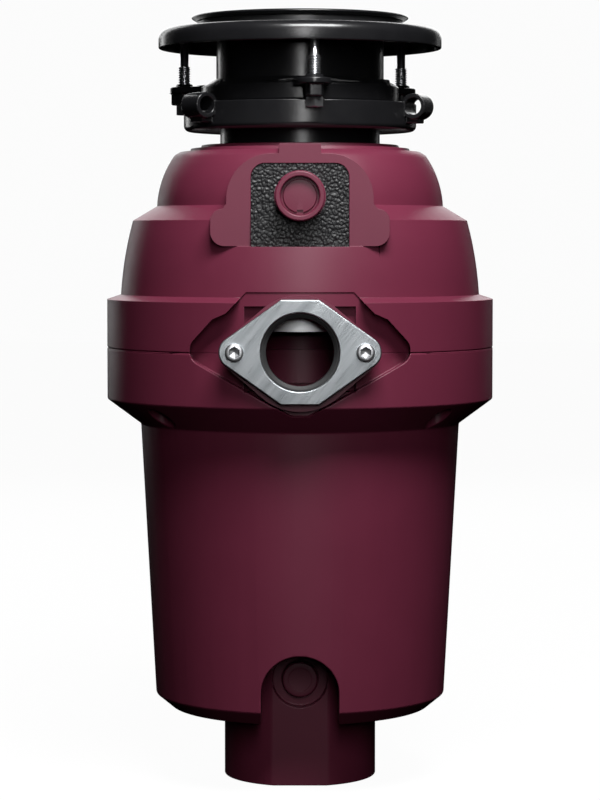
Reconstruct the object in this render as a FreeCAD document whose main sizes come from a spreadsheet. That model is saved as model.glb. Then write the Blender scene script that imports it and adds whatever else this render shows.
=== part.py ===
import FreeCAD, Part
import math
import os
import Sketcher
from FreeCAD import Placement, Rotation, Vector

# Kitchen garbage disposal on a twist-lock sink mount with three screws, in millimetres, +Z up.
# The origin is the centre of the flat foot, the discharge outlet faces -Y, and +X is to the right of it.

doc = FreeCAD.newDocument("GarbageDisposal")
sheet = doc.addObject("Spreadsheet::Sheet", "Dimensions")

DIMENSIONS = {
    # lower housing
    "foot_radius": 39.8, "foot_height": 36.75, "foot_wall": 3.0, "foot_flat_width": 27.8,
    "shell_wall": 3.0, "barrel_rim_radius": 67.2, "barrel_chamfer_radius": 75.9,
    "barrel_chamfer_height": 7.15,
    "barrel_top_radius": 83.5, "barrel_height": 142.0, "cone_height": 13.0,
    "band_radius": 101.0, "lower_band_height": 26.85, "seam_bevel": 0.5,
    "niche_half_width": 19.7, "niche_spring_height": 53.5,
    # upper housing
    "upper_band_height": 25.05, "band_bevel_width": 7.2, "band_bevel_height": 2.4,
    "dome_radius": 87.4, "dome_height": 38.4, "dome_curve": 190.0,
    "crown_radius": 74.8, "ledge_height": 7.5, "crown_top_radius": 65.6, "crown_height": 26.5,
    "crown_curve": 50.0,
    "cap_tier_height": 1.75, "cap_tier_width": 5.0,
    # flat pad, grained panel and dishwasher spigot on the front of the domes
    "pad_plane": 85.0, "pad_rise": 25.3, "pad_half_width": 44.4, "pad_top_half_width": 36.5,
    "pad_top_corner": 22.3, "panel_width": 48.6, "panel_thickness": 1.0, "panel_recess": 1.5,
    "panel_corner": 7.0,
    "spigot_radius": 12.3, "spigot_bore": 9.5, "spigot_reach": 12.0, "spigot_rise": 4.1,
    "knockout_depth": 3.0,
    # recess and discharge outlet
    "recess_depth": 8.0, "recess_deep_half_width": 27.5, "outlet_rise": 1.15, "outlet_bore": 17.5,
    "outlet_wall": 4.0, "outlet_reach": 100.0, "outlet_flange_radius": 28.5, "outlet_flange_thickness": 7.0,
    "plate_thickness": 3.0, "plate_bore": 19.2, "plate_half_height": 25.7, "plate_flat_half_width": 9.3,
    "plate_tip_radius": 7.8, "outlet_bolt_offset": 32.0, "gasket_thickness": 2.5, "gasket_bore": 16.6,
    "gasket_radius": 24.0,
    # sink mount
    "neck_radius": 41.7, "neck_wall": 2.4, "neck_gap": 7.1, "bead_reach": 5.3, "neck_bead_height": 2.5,
    "lock_reach": 9.2, "lock_wall": 3.2, "lock_floor": 3.0, "lock_height": 14.3, "lock_angle": -52.0,
    "tube_radius": 6.6, "tube_bore": 4.3, "tube_length": 14.0, "tube_reach": 4.3,
    "flange_neck_step": 2.0, "flange_wall": 2.5, "lip_reach": 13.2, "lip_thickness": 2.5,
    "mount_ring_reach": 7.8, "mount_ring_rim": 8.4, "mount_ring_slope": 4.0, "screw_angle": 6.2,
    "ear_reach": 15.7, "screw_radius": 3.2, "dog_radius": 2.3, "screw_thread_length": 20.5,
    "head_flats": 8.4, "head_height": 5.1, "ear_half_width": 8.7, "ear_thickness": 3.2,
    "ear_boss_radius": 4.6,
    "support_margin": 6.6, "support_depth": 10.0, "support_wall": 2.0, "support_corner": 6.0,
    "support_rise": 53.0, "sink_gasket_width": 9.9, "sink_gasket_thickness": 4.2,
    "cushion_height": 8.9, "guard_level": 28.0, "guard_height": 18.0,
    # grinding chamber
    "flange_clearance": 16.0, "chamber_flange_width": 7.5, "chamber_wall": 3.5,
    "chamber_flange_thickness": 4.0,
    "chamber_rise": 23.1, "grind_ring_height": 26.0, "grind_ring_wall": 3.7, "turntable_thickness": 2.5,
    "turntable_drop": 3.5, "turntable_gap": 1.0, "skirt_radius": 26.0, "turret_radius": 28.0,
    "turret_drop": 17.6,
    "hopper_waist_step": 11.5, "lug_length": 19.0, "lug_width": 14.0, "lug_height": 11.0,
    "lug_pin_radius": 4.0,
    "lug_inset": 25.3,
    # motor
    "shaft_radius": 8.0, "journal_radius": 6.0, "running_gap": 0.05, "bush_wall": 5.0, "motor_gap": 4.8,
    "motor_foot": 78.0, "motor_lid_gap": 9.0, "frame_thickness": 8.0, "can_wall": 1.2, "stack_height": 55.0,
    "stack_foot": 27.0, "winding_height": 13.0, "rotor_radius": 31.5, "air_gap": 0.5, "tie_bolt_radius": 2.0,
    # reset button and electrics
    "button_radius": 9.1, "button_height": 55.0, "button_recess_radius": 14.2, "button_recess_depth": 6.0,
    "cable_hole_radius": 11.1, "cover_thickness": 2.5,
    # gaps between pieces that move
    "clearance": 0.3,
}

for row, (alias, number) in enumerate(DIMENSIONS.items(), start=1):
    sheet.set(f"A{row}", alias)
    sheet.set(f"B{row}", str(number))
    sheet.setAlias(f"B{row}", alias)
doc.recompute()


class Size:
    """A length together with the sheet expression that keeps it up to date."""

    def __init__(self, value, text):
        self.value = value
        self.text = text

    def __add__(self, other):
        other = as_size(other)
        return Size(self.value + other.value, f"({self.text} + {other.text})")

    def __sub__(self, other):
        other = as_size(other)
        return Size(self.value - other.value, f"({self.text} - {other.text})")

    def __mul__(self, other):
        other = as_size(other)
        return Size(self.value * other.value, f"({self.text} * {other.text})")

    def __neg__(self):
        return self * -1.0

    def __radd__(self, other):
        return as_size(other) + self

    def __rsub__(self, other):
        return as_size(other) - self

    def __rmul__(self, other):
        return self * other


class Dimensions:
    """Gives each cell of the sheet as a Size, by its alias."""

    def __getattr__(self, alias):
        return Size(DIMENSIONS[alias], f"Dimensions.{alias}")


def as_size(item):
    return item if isinstance(item, Size) else Size(float(item), f"({float(item)!r})")


d = Dimensions()
UP = Rotation()
FRONT = Rotation(Vector(1, 0, 0), 90)
SIDE = Rotation(Vector(0, 1, 0), 90)


def bind(item, path, length):
    item.setExpression(path, as_size(length).text)


def origin_plane(body, role):
    return next(item for item in body.Origin.OriginFeatures if item.Role == role)


def new_sketch(body, role, start):
    """Empty sketch in one of the body's own planes, moved along the plane's normal by start."""
    sketch = body.newObject("Sketcher::SketchObject", body.Name + "_sketch")
    sketch.AttachmentSupport = [(origin_plane(body, role), "")]
    sketch.MapMode = "FlatFace"
    sketch.AttachmentOffset = Placement(Vector(0, 0, as_size(start).value), Rotation())
    bind(sketch, "AttachmentOffset.Base.z", start)
    return sketch


def fix_value(sketch, constraint, length):
    index = sketch.addConstraint(constraint)
    bind(sketch, f"Constraints[{index}]", length)


def fix_point(sketch, geometry, end, point):
    across, up = as_size(point[0]), as_size(point[1])
    fix_value(sketch, Sketcher.Constraint("DistanceX", -1, 1, geometry, end, across.value), across)
    fix_value(sketch, Sketcher.Constraint("DistanceY", -1, 1, geometry, end, up.value), up)


def draw_outline(sketch, points):
    """Closed outline through (across, up) points; a third number is the radius of the arc that ends there,
    positive where the arc's centre is on the left of the way the outline runs."""
    first = sketch.GeometryCount
    ends = []
    for index, point in enumerate(points):
        start = Vector(as_size(points[index - 1][0]).value, as_size(points[index - 1][1]).value)
        stop = Vector(as_size(point[0]).value, as_size(point[1]).value)
        if len(point) == 2:
            geometry = sketch.addGeometry(Part.LineSegment(start, stop))
            ends.append((1, 2))
            continue
        radius = as_size(point[2])
        side = math.copysign(1.0, radius.value)
        chord = stop - start
        left = Vector(-chord.y, chord.x).normalize()
        reach = math.sqrt(max(0.0, radius.value ** 2 - chord.Length ** 2 / 4))
        middle = (start + stop) * 0.5 + left * side * (reach - abs(radius.value))
        geometry = sketch.addGeometry(Part.Arc(start, middle, stop))
        flipped = (sketch.getPoint(geometry, 1) - start).Length > (sketch.getPoint(geometry,
                                                                                   2) - start).Length
        ends.append((2, 1) if flipped else (1, 2))
    for index, point in enumerate(points):
        before = first + (index - 1) % len(points)
        sketch.addConstraint(Sketcher.Constraint("Coincident", before, ends[index - 1][1],
                                                 first + index, ends[index][0]))
        fix_point(sketch, first + index, ends[index][1], point)
        if len(point) == 3:
            radius = as_size(point[2])
            size = radius if radius.value > 0 else -radius
            fix_value(sketch, Sketcher.Constraint("Radius", first + index, size.value), size)


def draw_circle(sketch, across, up, radius):
    centre = Vector(as_size(across).value, as_size(up).value)
    geometry = sketch.addGeometry(Part.Circle(centre, Vector(0, 0, 1), as_size(radius).value))
    fix_point(sketch, geometry, 3, (across, up))
    fix_value(sketch, Sketcher.Constraint("Radius", geometry, as_size(radius).value), radius)


def new_body(name):
    body = doc.addObject("PartDesign::Body", name)
    body.Label = name
    return body


def revolved(name, points):
    """Solid of revolution about Z from an outline of (radius, height) points."""
    body = new_body(name)
    sketch = new_sketch(body, "XZ_Plane", 0)
    draw_outline(sketch, points)
    turn = body.newObject("PartDesign::Revolution", name + "_turn")
    turn.Profile = sketch
    turn.ReferenceAxis = (sketch, ["V_Axis"])
    turn.Angle = 360
    return body


def add_pad(body, role, start, depth, points=None, circle=None):
    """Adds a pad from start to start + depth along the plane's normal; XZ_Plane's normal is -Y."""
    sketch = new_sketch(body, role, start)
    if points:
        draw_outline(sketch, points)
    if circle:
        draw_circle(sketch, *circle)
    pad = body.newObject("PartDesign::Pad", body.Name + "_pad")
    pad.Profile = sketch
    pad.Length = as_size(depth).value
    bind(pad, "Length", depth)
    return pad


def add_pocket(body, role, start, depth, points=None, circle=None):
    """Cuts from start + depth back to start, against the plane's normal, and proves that it cut."""
    sketch = new_sketch(body, role, start + depth)
    if points:
        draw_outline(sketch, points)
    if circle:
        draw_circle(sketch, *circle)
    doc.recompute()
    before = body.Shape.Volume
    pocket = body.newObject("PartDesign::Pocket", body.Name + "_pocket")
    pocket.Profile = sketch
    pocket.Length = as_size(depth).value
    bind(pocket, "Length", depth)
    doc.recompute()
    if body.Shape.Volume > before - 1e-3:
        raise RuntimeError(f"{pocket.Name} cuts nothing")
    return pocket


def repeat_round(body, features, count):
    """Repeats features about Z, evenly spaced."""
    pattern = body.newObject("PartDesign::PolarPattern", body.Name + "_pattern")
    pattern.Originals = features
    pattern.Axis = (next(item for item in body.Origin.OriginFeatures if item.Role == "Z_Axis"), [""])
    pattern.Angle = 360
    pattern.Occurrences = count
    body.Tip = pattern
    return pattern


def prism(name, role, start, depth, points):
    body = new_body(name)
    add_pad(body, role, start, depth, points=points)
    return body


def block(name, low, high):
    """Box between two corners."""
    item = doc.addObject("Part::Box", name)
    for path, first, last, label in zip("xyz", low, high, ("Length", "Width", "Height")):
        bind(item, label, as_size(last) - first)
        bind(item, "Placement.Base." + path, first)
    return item


def cylinder(name, radius, length, base, way=UP):
    """Cylinder from its base centre, standing along UP (+Z), FRONT (-Y) or SIDE (+X)."""
    item = doc.addObject("Part::Cylinder", name)
    item.Placement = Placement(Vector(*(as_size(value).value for value in base)), way)
    bind(item, "Radius", radius)
    bind(item, "Height", length)
    for path, value in zip("xyz", base):
        bind(item, "Placement.Base." + path, value)
    return item


def hexagon(name, flats, length, base, way=UP):
    """Six-sided prism, given its width across flats."""
    item = doc.addObject("Part::Prism", name)
    item.Polygon = 6
    item.Placement = Placement(Vector(*(as_size(value).value for value in base)), way)
    bind(item, "Circumradius", as_size(flats) * (1 / math.sqrt(3)))
    bind(item, "Height", length)
    for path, value in zip("xyz", base):
        bind(item, "Placement.Base." + path, value)
    return item


def fuse(name, *pieces):
    item = doc.addObject("Part::MultiFuse", name)
    item.Shapes = list(pieces)
    item.Label = name
    return item


def cut(name, base, *tools):
    item = doc.addObject("Part::Cut", name)
    item.Base = base
    item.Tool = tools[0] if len(tools) == 1 else fuse(name + "_tools", *tools)
    item.Label = name
    return item


def common(name, first, second):
    item = doc.addObject("Part::Common", name)
    item.Base = first
    item.Tool = second
    item.Label = name
    return item


def group(name, pieces):
    """Like fasteners kept as separate solids in one sub-part."""
    item = doc.addObject("Part::Compound", name)
    item.Links = pieces
    item.Label = name
    return item


def turn_about_axis(item, angle):
    """Carries a piece round the Z axis by an angle in degrees."""
    turned = doc.addObject("Part::Compound", item.Name + "_turned")
    turned.Links = [item]
    turned.Placement = Placement(Vector(), Rotation(Vector(0, 0, 1), as_size(angle).value))
    bind(turned, "Placement.Rotation.Angle", angle)
    return turned


def mirrored(right_side):
    """Adds the left half to the right half of a symmetric outline, given from the bottom upwards."""
    left_side = []
    for index in range(len(right_side) - 1, -1, -1):
        across, up = right_side[index][0], right_side[index][1]
        left_side.append((-as_size(across), up))
        if index + 1 < len(right_side) and len(right_side[index + 1]) == 3:
            left_side[-1] = (-as_size(across), up, right_side[index + 1][2])
    return right_side + left_side


nodes = {}


def keep(item):
    nodes[item.Label] = item
    return item


# Heights of the housing, from the foot up.
barrel_foot = d.foot_height
chamfer_top = barrel_foot + d.barrel_chamfer_height
barrel_top = chamfer_top + d.barrel_height
band_foot = barrel_top + d.cone_height
seam = band_foot + d.lower_band_height
band_top = seam + d.upper_band_height
bevel_top = band_top + d.band_bevel_height
dome_top = bevel_top + d.dome_height
ledge_top = dome_top + d.ledge_height
crown_top = ledge_top + d.crown_height
cap_top = crown_top + 3 * d.cap_tier_height
pad_foot = bevel_top + d.pad_rise
outlet_height = seam + d.outlet_rise
bevel_radius = d.band_radius - d.band_bevel_width

# Radii and heights of the grinding chamber, which hangs inside the band.
chamber_flange_radius = d.band_radius - d.flange_clearance
chamber_radius = chamber_flange_radius - d.chamber_flange_width
chamber_bore = chamber_radius - d.chamber_wall
chamber_top = outlet_height + d.chamber_rise
chamber_floor = outlet_height - d.outlet_bore - 0.9
grind_ring_radius = chamber_radius - 1.5
grind_ring_bore = grind_ring_radius - d.grind_ring_wall
grind_ring_foot = chamber_top - 14.0
grind_ring_top = grind_ring_foot + d.grind_ring_height
chamber_bolt_circle = chamber_flange_radius - 3.0
turntable_top = chamber_top - d.turntable_drop
turntable_radius = grind_ring_bore - d.turntable_gap
turret_top = chamber_top - d.turret_drop
lug_offset = turntable_radius - d.lug_inset
hopper_waist = chamber_radius - d.hopper_waist_step

# Heights of the motor.
motor_radius = d.barrel_rim_radius - d.motor_gap
motor_lid = chamber_floor - d.motor_lid_gap - 3.5
stack_foot = d.motor_foot + d.stack_foot
stack_top = stack_foot + d.stack_height
shaft_foot = d.motor_foot - 8.0

# Radii of the sink mount, each measured from the one inside it.
neck_bead_radius = d.neck_radius + d.bead_reach
flange_neck_radius = d.neck_radius + d.flange_neck_step
flange_throat_radius = flange_neck_radius - d.flange_wall
lip_radius = flange_neck_radius + d.lip_reach
sink_gasket_radius = flange_neck_radius + d.sink_gasket_width
mount_ring_radius = flange_neck_radius + d.mount_ring_reach
lock_radius = mount_ring_radius + d.lock_reach
tube_offset = lock_radius + d.tube_reach
screw_offset = mount_ring_radius + d.ear_reach
support_radius = screw_offset + d.support_margin

# Heights of the sink mount.
lock_foot = cap_top + d.neck_gap
bead_foot = lock_foot + d.lock_floor + d.clearance
bead_top = bead_foot + d.neck_bead_height
lock_top = lock_foot + d.lock_height
flange_foot = bead_top + d.cushion_height
ring_foot = flange_foot
ring_rim_top = ring_foot + d.mount_ring_rim
ring_top = ring_rim_top + d.mount_ring_slope
support_top = lock_foot + d.support_rise
gasket_top = support_top + d.sink_gasket_thickness
lip_top = gasket_top + d.lip_thickness


def housing_profile(inset):
    """Right half of the upper housing's outside, or of its cavity when moved in and down by the wall."""
    return [
        (0, seam), (d.band_radius - inset, seam), (d.band_radius - inset, band_top - inset),
        (bevel_radius - inset, bevel_top - inset),
        (d.dome_radius - inset, dome_top - inset, d.dome_curve),
        (d.crown_radius - inset, ledge_top - inset),
        (d.crown_top_radius - inset, crown_top - inset, d.crown_curve),
    ]


def barrel_profile(inset):
    return [
        (0, barrel_foot + inset), (d.barrel_rim_radius - inset, barrel_foot + inset),
        (d.barrel_chamfer_radius - inset, chamfer_top + inset * 0.4),
        (d.barrel_top_radius - inset, barrel_top + inset * 0.4),
        (d.band_radius - inset, band_foot + inset * 0.6), (d.band_radius - inset, seam), (0, seam),
    ]


def recess_outline(grow):
    """Recess around the discharge plate: wide at the seam, with a raised centre and a tapered foot."""
    right = [(4.1 + grow * 0.5, -32.0 - grow), (50.5 + grow, -6.5 - grow * 0.5),
             (52.5 + grow, 5.5, 7.5 + grow), (43.3 + grow * 0.5, 15.6 + grow),
             (36.7 + grow, 18.5 + grow), (26.6 + grow * 0.5, 29.0 + grow)]
    return mirrored([(x, outlet_height + point[0], *point[1:]) for x, *point in right])


def pad_outline():
    """Front pad: a wide foot with rounded corners under a narrower arched top."""
    crown_foot = ledge_top + 2.9
    return mirrored([
        (d.pad_half_width - d.panel_corner, pad_foot),
        (d.pad_half_width, pad_foot + d.panel_corner, d.panel_corner),
        (d.pad_half_width, ledge_top - 8.1),
        (d.pad_half_width - 6.0, ledge_top - 2.1, 6.0),
        (d.pad_top_half_width, ledge_top + 0.4), (d.pad_top_half_width, crown_foot),
        (d.pad_top_half_width - d.pad_top_corner, crown_foot + d.pad_top_corner, d.pad_top_corner),
    ])


# ---------------------------------------------------------------- housing shells
# Both shells are 3 mm mouldings that meet at the seam; a pan behind the recess keeps the wall closed.
SCREW_ANGLES = (50, 130, -130, -50)
boss_offset = d.band_radius - 10.0
boss_radius = 8.0
pocket_radius = 6.5
pocket_top = band_foot + 7.5
post_top = chamber_top - d.chamber_flange_thickness - 1.0
housing_screw_radius = 1.95
recess_radius = d.band_radius - d.recess_depth
recess_deep_radius = recess_radius - 4.0
pan_radius = recess_deep_radius - 2.5
spigot_height = ledge_top + d.spigot_rise


def recess_pan(name):
    prism_body = prism(name + "_prism", "XZ_Plane", 30, d.band_radius, recess_outline(d.shell_wall))
    core = cylinder(name + "_core", pan_radius, 200, (0, 0, barrel_top - 30))
    return cut(name, prism_body, core)


def recess_space(name):
    """Air in front of the recess floor, which follows the band's curve, deeper in the middle."""
    wide = cut(name + "_wide", prism(name + "_prism", "XZ_Plane", 30, d.band_radius, recess_outline(0.0)),
               cylinder(name + "_core", recess_radius, 200, (0, 0, barrel_top - 30)))
    half = d.recess_deep_half_width
    box = block(name + "_box", (-half, -d.band_radius - 5.0, outlet_height - 20.0),
                (half, -30.0, outlet_height + 22.0))
    deep = cut(name + "_deep", box, cylinder(name + "_deep_core", recess_deep_radius, 200,
                                             (0, 0, barrel_top - 30)))
    return fuse(name, wide, deep)


def corner_posts(name, radius, foot, top):
    posts = []
    for index, angle in enumerate(SCREW_ANGLES):
        post = cylinder(f"{name}_{index + 1}", radius, top - foot, (0, 0, foot))
        arm = math.radians(angle)
        bind(post, "Placement.Base.x", boss_offset * math.sin(arm))
        bind(post, "Placement.Base.y", boss_offset * -math.cos(arm))
        posts.append(post)
    return posts


pan = recess_pan("pan")
recess = recess_space("recess")
outlet_hole_radius = d.outlet_bore + d.outlet_wall + d.clearance
upper_outside = revolved("upper_outside", housing_profile(0.0) + [
    (d.crown_top_radius - 3.0, crown_top + d.cap_tier_height),
    (d.crown_top_radius - 3.0 - d.cap_tier_width, crown_top + d.cap_tier_height),
    (d.crown_top_radius - 3.6 - d.cap_tier_width, crown_top + 2 * d.cap_tier_height),
    (d.crown_top_radius - 3.6 - 2 * d.cap_tier_width, crown_top + 2 * d.cap_tier_height),
    (d.crown_top_radius - 4.2 - 2 * d.cap_tier_width, cap_top), (0, cap_top)])
upper_inside = revolved("upper_inside", housing_profile(d.shell_wall) + [(0, crown_top - d.shell_wall)])
pad_solid = prism("pad_solid", "XZ_Plane", 50, d.pad_plane - 50.0, pad_outline())
pad_hollow_half_width = d.pad_top_half_width - d.shell_wall
pad_hollow = block("pad_hollow", (-pad_hollow_half_width, d.shell_wall - d.pad_plane,
                                  pad_foot + 2 * d.shell_wall),
                   (pad_hollow_half_width, -45.0, ledge_top + 3 * d.shell_wall))
pad_air = prism("pad_air", "XZ_Plane", d.pad_plane, 30, pad_outline())
bridge = block("bridge", (-10.4, -d.pad_plane, ledge_top + 10.0),
               (10.4, -50.0, crown_top + 2 * d.cap_tier_height))
panel_bottom = pad_foot - 0.2
panel_top = panel_bottom + 41.2


def panel_outline(inset):
    half = d.panel_width * 0.5 - inset
    corner = d.panel_corner - inset
    return mirrored([(half, panel_bottom), (half, panel_top - d.panel_corner),
                     (half - corner, panel_top - inset, corner)])


panel_pocket = prism("panel_pocket", "XZ_Plane", d.pad_plane - d.panel_recess, 20, panel_outline(0.0))
seam_groove = revolved("seam_groove", [
    (d.band_radius - d.seam_bevel, seam), (d.band_radius + 1.0, seam - d.seam_bevel - 1.0),
    (d.band_radius + 1.0, seam + d.seam_bevel + 1.0)])
upper_walls = cut("upper_walls", fuse("upper_solid", upper_outside, pad_solid, bridge),
                  fuse("upper_cavity", cut("upper_room", upper_inside, pan), pad_hollow))
upper_posts = [common(f"upper_post_{index + 1}", post, doc.upper_outside)
               for index, post in enumerate(corner_posts("upper_post_rod", boss_radius, seam, post_top))]
keep(cut("upper_shell", fuse("upper_body", upper_walls, *upper_posts),
         pad_air, panel_pocket, recess, seam_groove,
         cylinder("upper_neck_hole", d.neck_radius + d.clearance, 30, (0, 0, crown_top - 15.0)),
         cylinder("upper_outlet_hole", outlet_hole_radius, 60, (0, -50, outlet_height), FRONT),
         cylinder("upper_spigot_hole", d.spigot_radius, 60, (0, -50, spigot_height), FRONT),
         *corner_posts("upper_pilot", housing_screw_radius + 0.05, seam - 1.0, post_top - 2.0)))

lower_outside = revolved("lower_outside", barrel_profile(0.0))
lower_inside = revolved("lower_inside", barrel_profile(d.shell_wall))


def niche_outline(grow):
    half = d.niche_half_width + grow
    spring = d.niche_spring_height
    return [(half, 0), (half, spring), (0, spring + half, half), (-half, spring, half), (-half, 0)]


niche_block = prism("niche_block", "XZ_Plane", 20, 80, niche_outline(d.shell_wall))
niche_air = prism("niche_air", "XZ_Plane", 20, 90, niche_outline(0.0))
lower_walls = cut("lower_walls", lower_outside,
                  cut("lower_room", lower_inside, pan, niche_block))
lower_posts = [common(f"lower_post_{index + 1}", post, doc.lower_outside)
               for index, post in enumerate(corner_posts("lower_post_rod", pocket_radius + 2.5,
                                                         barrel_top - 2.0, seam))]
keep(cut("lower_shell", fuse("lower_body", lower_walls, *lower_posts),
         niche_air, recess, seam_groove,
         cylinder("lower_foot_hole", d.foot_radius + d.clearance, d.motor_foot - 30.0, (0, 0, 30)),
         cylinder("lower_outlet_hole", outlet_hole_radius, 60, (0, -50, outlet_height), FRONT),
         *corner_posts("lower_pocket", pocket_radius, barrel_top - 20.0, pocket_top),
         *corner_posts("lower_screw_hole", 2.3, pocket_top - 1.0, seam + 1.0)))

keep(cut("inlet_panel", prism("panel_sheet", "XZ_Plane", d.pad_plane - d.panel_recess, d.panel_thickness,
                              panel_outline(0.15)),
         cylinder("panel_spigot_hole", d.spigot_radius, 60, (0, -50, spigot_height), FRONT)))

# ---------------------------------------------------------------- hopper and dishwasher spigot
neck_bore = d.neck_radius - d.neck_wall
hopper_outside = revolved("hopper_outside", [
    (0, bead_top), (neck_bead_radius, bead_top), (neck_bead_radius, bead_foot), (d.neck_radius, bead_foot),
    (d.neck_radius, crown_top - 10.0), (hopper_waist, ledge_top - 3.0, -30.0),
    (hopper_waist, dome_top - 10.0),
    (chamber_radius + 1.5, dome_top - 22.0), (chamber_radius + 1.5, chamber_top + 4.0),
    (chamber_flange_radius, chamber_top + 4.0), (chamber_flange_radius, chamber_top + 1.0),
    (0, chamber_top + 1.0)])
hopper_inside = revolved("hopper_inside", [
    (0, bead_top + 1.0), (neck_bore, bead_top + 1.0), (neck_bore, crown_top - 10.0),
    (hopper_waist - d.neck_wall, ledge_top - 5.0, -29.0), (hopper_waist - d.neck_wall, dome_top - 11.5),
    (grind_ring_bore, dome_top - 22.0), (grind_ring_bore, grind_ring_top + 0.2),
    (grind_ring_radius + 0.1, grind_ring_top + 0.2), (grind_ring_radius + 0.1, chamber_top),
    (0, chamber_top)])
keep(cut("hopper", hopper_outside, hopper_inside,
         cylinder("hopper_inlet_hole", d.spigot_bore, 60, (0, -30, spigot_height), FRONT),
         *[turn_about_axis(cylinder(f"hopper_bolt_hole_{angle}", d.tie_bolt_radius + 0.1, 20,
                                    (chamber_bolt_circle, 0, chamber_top - 6.0)), angle)
           for angle in (45, 135, 225, 315)]))
spigot_stub_radius = d.spigot_radius - d.clearance
spigot_tube = fuse("spigot_tube",
                   cylinder("spigot_stub", spigot_stub_radius, d.pad_plane - 48.0, (0, -50, spigot_height),
                            FRONT),
                   cylinder("spigot_ring", d.spigot_radius, d.spigot_reach,
                            (0, -d.pad_plane, spigot_height), FRONT))
spigot_pocket = cylinder("spigot_pocket", d.spigot_bore, 60, (0, -48, spigot_height), FRONT)
keep(cut("dishwasher_inlet", spigot_tube, hopper_outside, spigot_pocket))
keep(cylinder("inlet_knockout", d.spigot_bore, 1.6,
              (0, -d.pad_plane - d.spigot_reach + d.knockout_depth + 1.6, spigot_height), FRONT))

# ---------------------------------------------------------------- drain chamber with its outlet
turret_step = turret_top - 7.0
seal_foot = turret_top - 16.4
chamber_outside = revolved("chamber_outside", [
    (d.shaft_radius + 1.5, seal_foot), (d.shaft_radius + 1.5, chamber_floor + 2.5), (33, chamber_floor + 2.5),
    (33, chamber_floor - 3.5), (chamber_radius, chamber_floor - 3.5),
    (chamber_radius, chamber_top - d.chamber_flange_thickness),
    (chamber_flange_radius, chamber_top - d.chamber_flange_thickness), (chamber_flange_radius, chamber_top),
    (grind_ring_radius, chamber_top), (grind_ring_radius, grind_ring_foot), (chamber_bore, grind_ring_foot),
    (chamber_bore, chamber_floor), (d.turret_radius + 8.0, chamber_floor),
    (d.turret_radius + 8.0, turret_step),
    (d.turret_radius, turret_step), (d.turret_radius, turret_top), (14.1, turret_top), (14.1, seal_foot)])
outlet_tube = cut("outlet_tube", cylinder("outlet_rod", d.outlet_bore + d.outlet_wall, d.outlet_reach - 50.0,
                                          (0, -50, outlet_height), FRONT),
                  cylinder("outlet_room", chamber_bore, 200, (0, 0, chamber_floor - 60.0)),
                  cylinder("outlet_ring_room", grind_ring_radius, 60, (0, 0, grind_ring_foot)))


def flange_outline(radius, tip, sag):
    """Two-bolt diamond flange: a round middle and round tips, joined by straight flanks."""
    offset = d.outlet_bolt_offset
    lean = (radius - tip).value / offset.value
    rise = math.sqrt(1 - lean ** 2)
    middle = outlet_height - sag
    right = [(radius * lean, middle - radius * rise), (offset + tip * lean, middle - tip * rise),
             (offset + tip * lean, middle + tip * rise, tip), (radius * lean, middle + radius * rise)]
    outline = mirrored(right)
    outline[0] = (*outline[0], radius)
    outline[4] = (*outline[4], radius)
    return outline


flange_front = d.outlet_reach
outlet_flange = prism("outlet_flange", "XZ_Plane", flange_front - d.outlet_flange_thickness,
                      d.outlet_flange_thickness,
                      flange_outline(d.outlet_flange_radius, d.plate_tip_radius, 0.8))
keep(cut("drain_chamber", fuse("chamber_body", chamber_outside, outlet_tube, outlet_flange),
         cylinder("outlet_bore_hole", d.outlet_bore, 80, (0, -40, outlet_height), FRONT),
         *[cylinder(f"outlet_screw_hole_{side:+d}", 2.55, 20,
                    (side * d.outlet_bolt_offset, -85, outlet_height), FRONT)
           for side in (-1, 1)],
         *[turn_about_axis(cylinder(f"chamber_bolt_hole_{angle}", d.tie_bolt_radius + 0.1, 20,
                                    (chamber_bolt_circle, 0, chamber_top - 12.0)), angle)
           for angle in (45, 135, 225, 315)]))
gasket_back = flange_front
keep(cut("discharge_gasket", cylinder("gasket_disc", d.gasket_radius, d.gasket_thickness,
                                      (0, -gasket_back, outlet_height), FRONT),
         cylinder("gasket_hole", d.gasket_bore, 20, (0, -90, outlet_height), FRONT)))


def plate_outline():
    """Diamond plate with flats above and below and round tips about the bolts."""
    offset = d.outlet_bolt_offset
    tip = d.plate_tip_radius
    run = (offset - d.plate_flat_half_width).value
    drop = d.plate_half_height.value
    reach = math.hypot(run, drop)
    slope = math.atan2(drop, run) - math.asin(tip.value / reach)
    across, up = tip * math.sin(slope), tip * math.cos(slope)
    return mirrored([(d.plate_flat_half_width, outlet_height - d.plate_half_height),
                     (offset + across, outlet_height - up), (offset + across, outlet_height + up, tip),
                     (d.plate_flat_half_width, outlet_height + d.plate_half_height)])


plate_back = gasket_back + d.gasket_thickness
plate_front = plate_back + d.plate_thickness
keep(cut("discharge_plate", prism("plate_blank", "XZ_Plane", plate_back, d.plate_thickness, plate_outline()),
         cylinder("plate_bore_hole", d.plate_bore, 40, (0, -90, outlet_height), FRONT),
         *[cylinder(f"plate_screw_hole_{side:+d}", 2.7, 40,
                    (side * d.outlet_bolt_offset, -90, outlet_height), FRONT)
           for side in (-1, 1)]))


def cap_screw(name, head_radius, head_height, shank_radius, shank_length, socket_flats, base, way):
    """Screw whose head stands on its base point and whose shank runs the other way."""
    axis = way.multVec(Vector(0, 0, 1))
    under = [base[i] - shank_length * axis[i] if axis[i] else base[i] for i in range(3)]
    socket = [base[i] + head_height * 0.35 * axis[i] if axis[i] else base[i] for i in range(3)]
    body = fuse(name + "_body", cylinder(name + "_head", head_radius, head_height, base, way),
                cylinder(name + "_shank", shank_radius, shank_length, under, way))
    return cut(name, body, hexagon(name + "_socket", socket_flats, head_height, socket, way))


keep(group("discharge_screws", [
    cap_screw(f"discharge_screw_{side:+d}", as_size(4.5), as_size(3.2), as_size(2.5), as_size(15), 4.8,
              (side * d.outlet_bolt_offset, -plate_front, outlet_height), FRONT) for side in (-1, 1)]))

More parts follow.
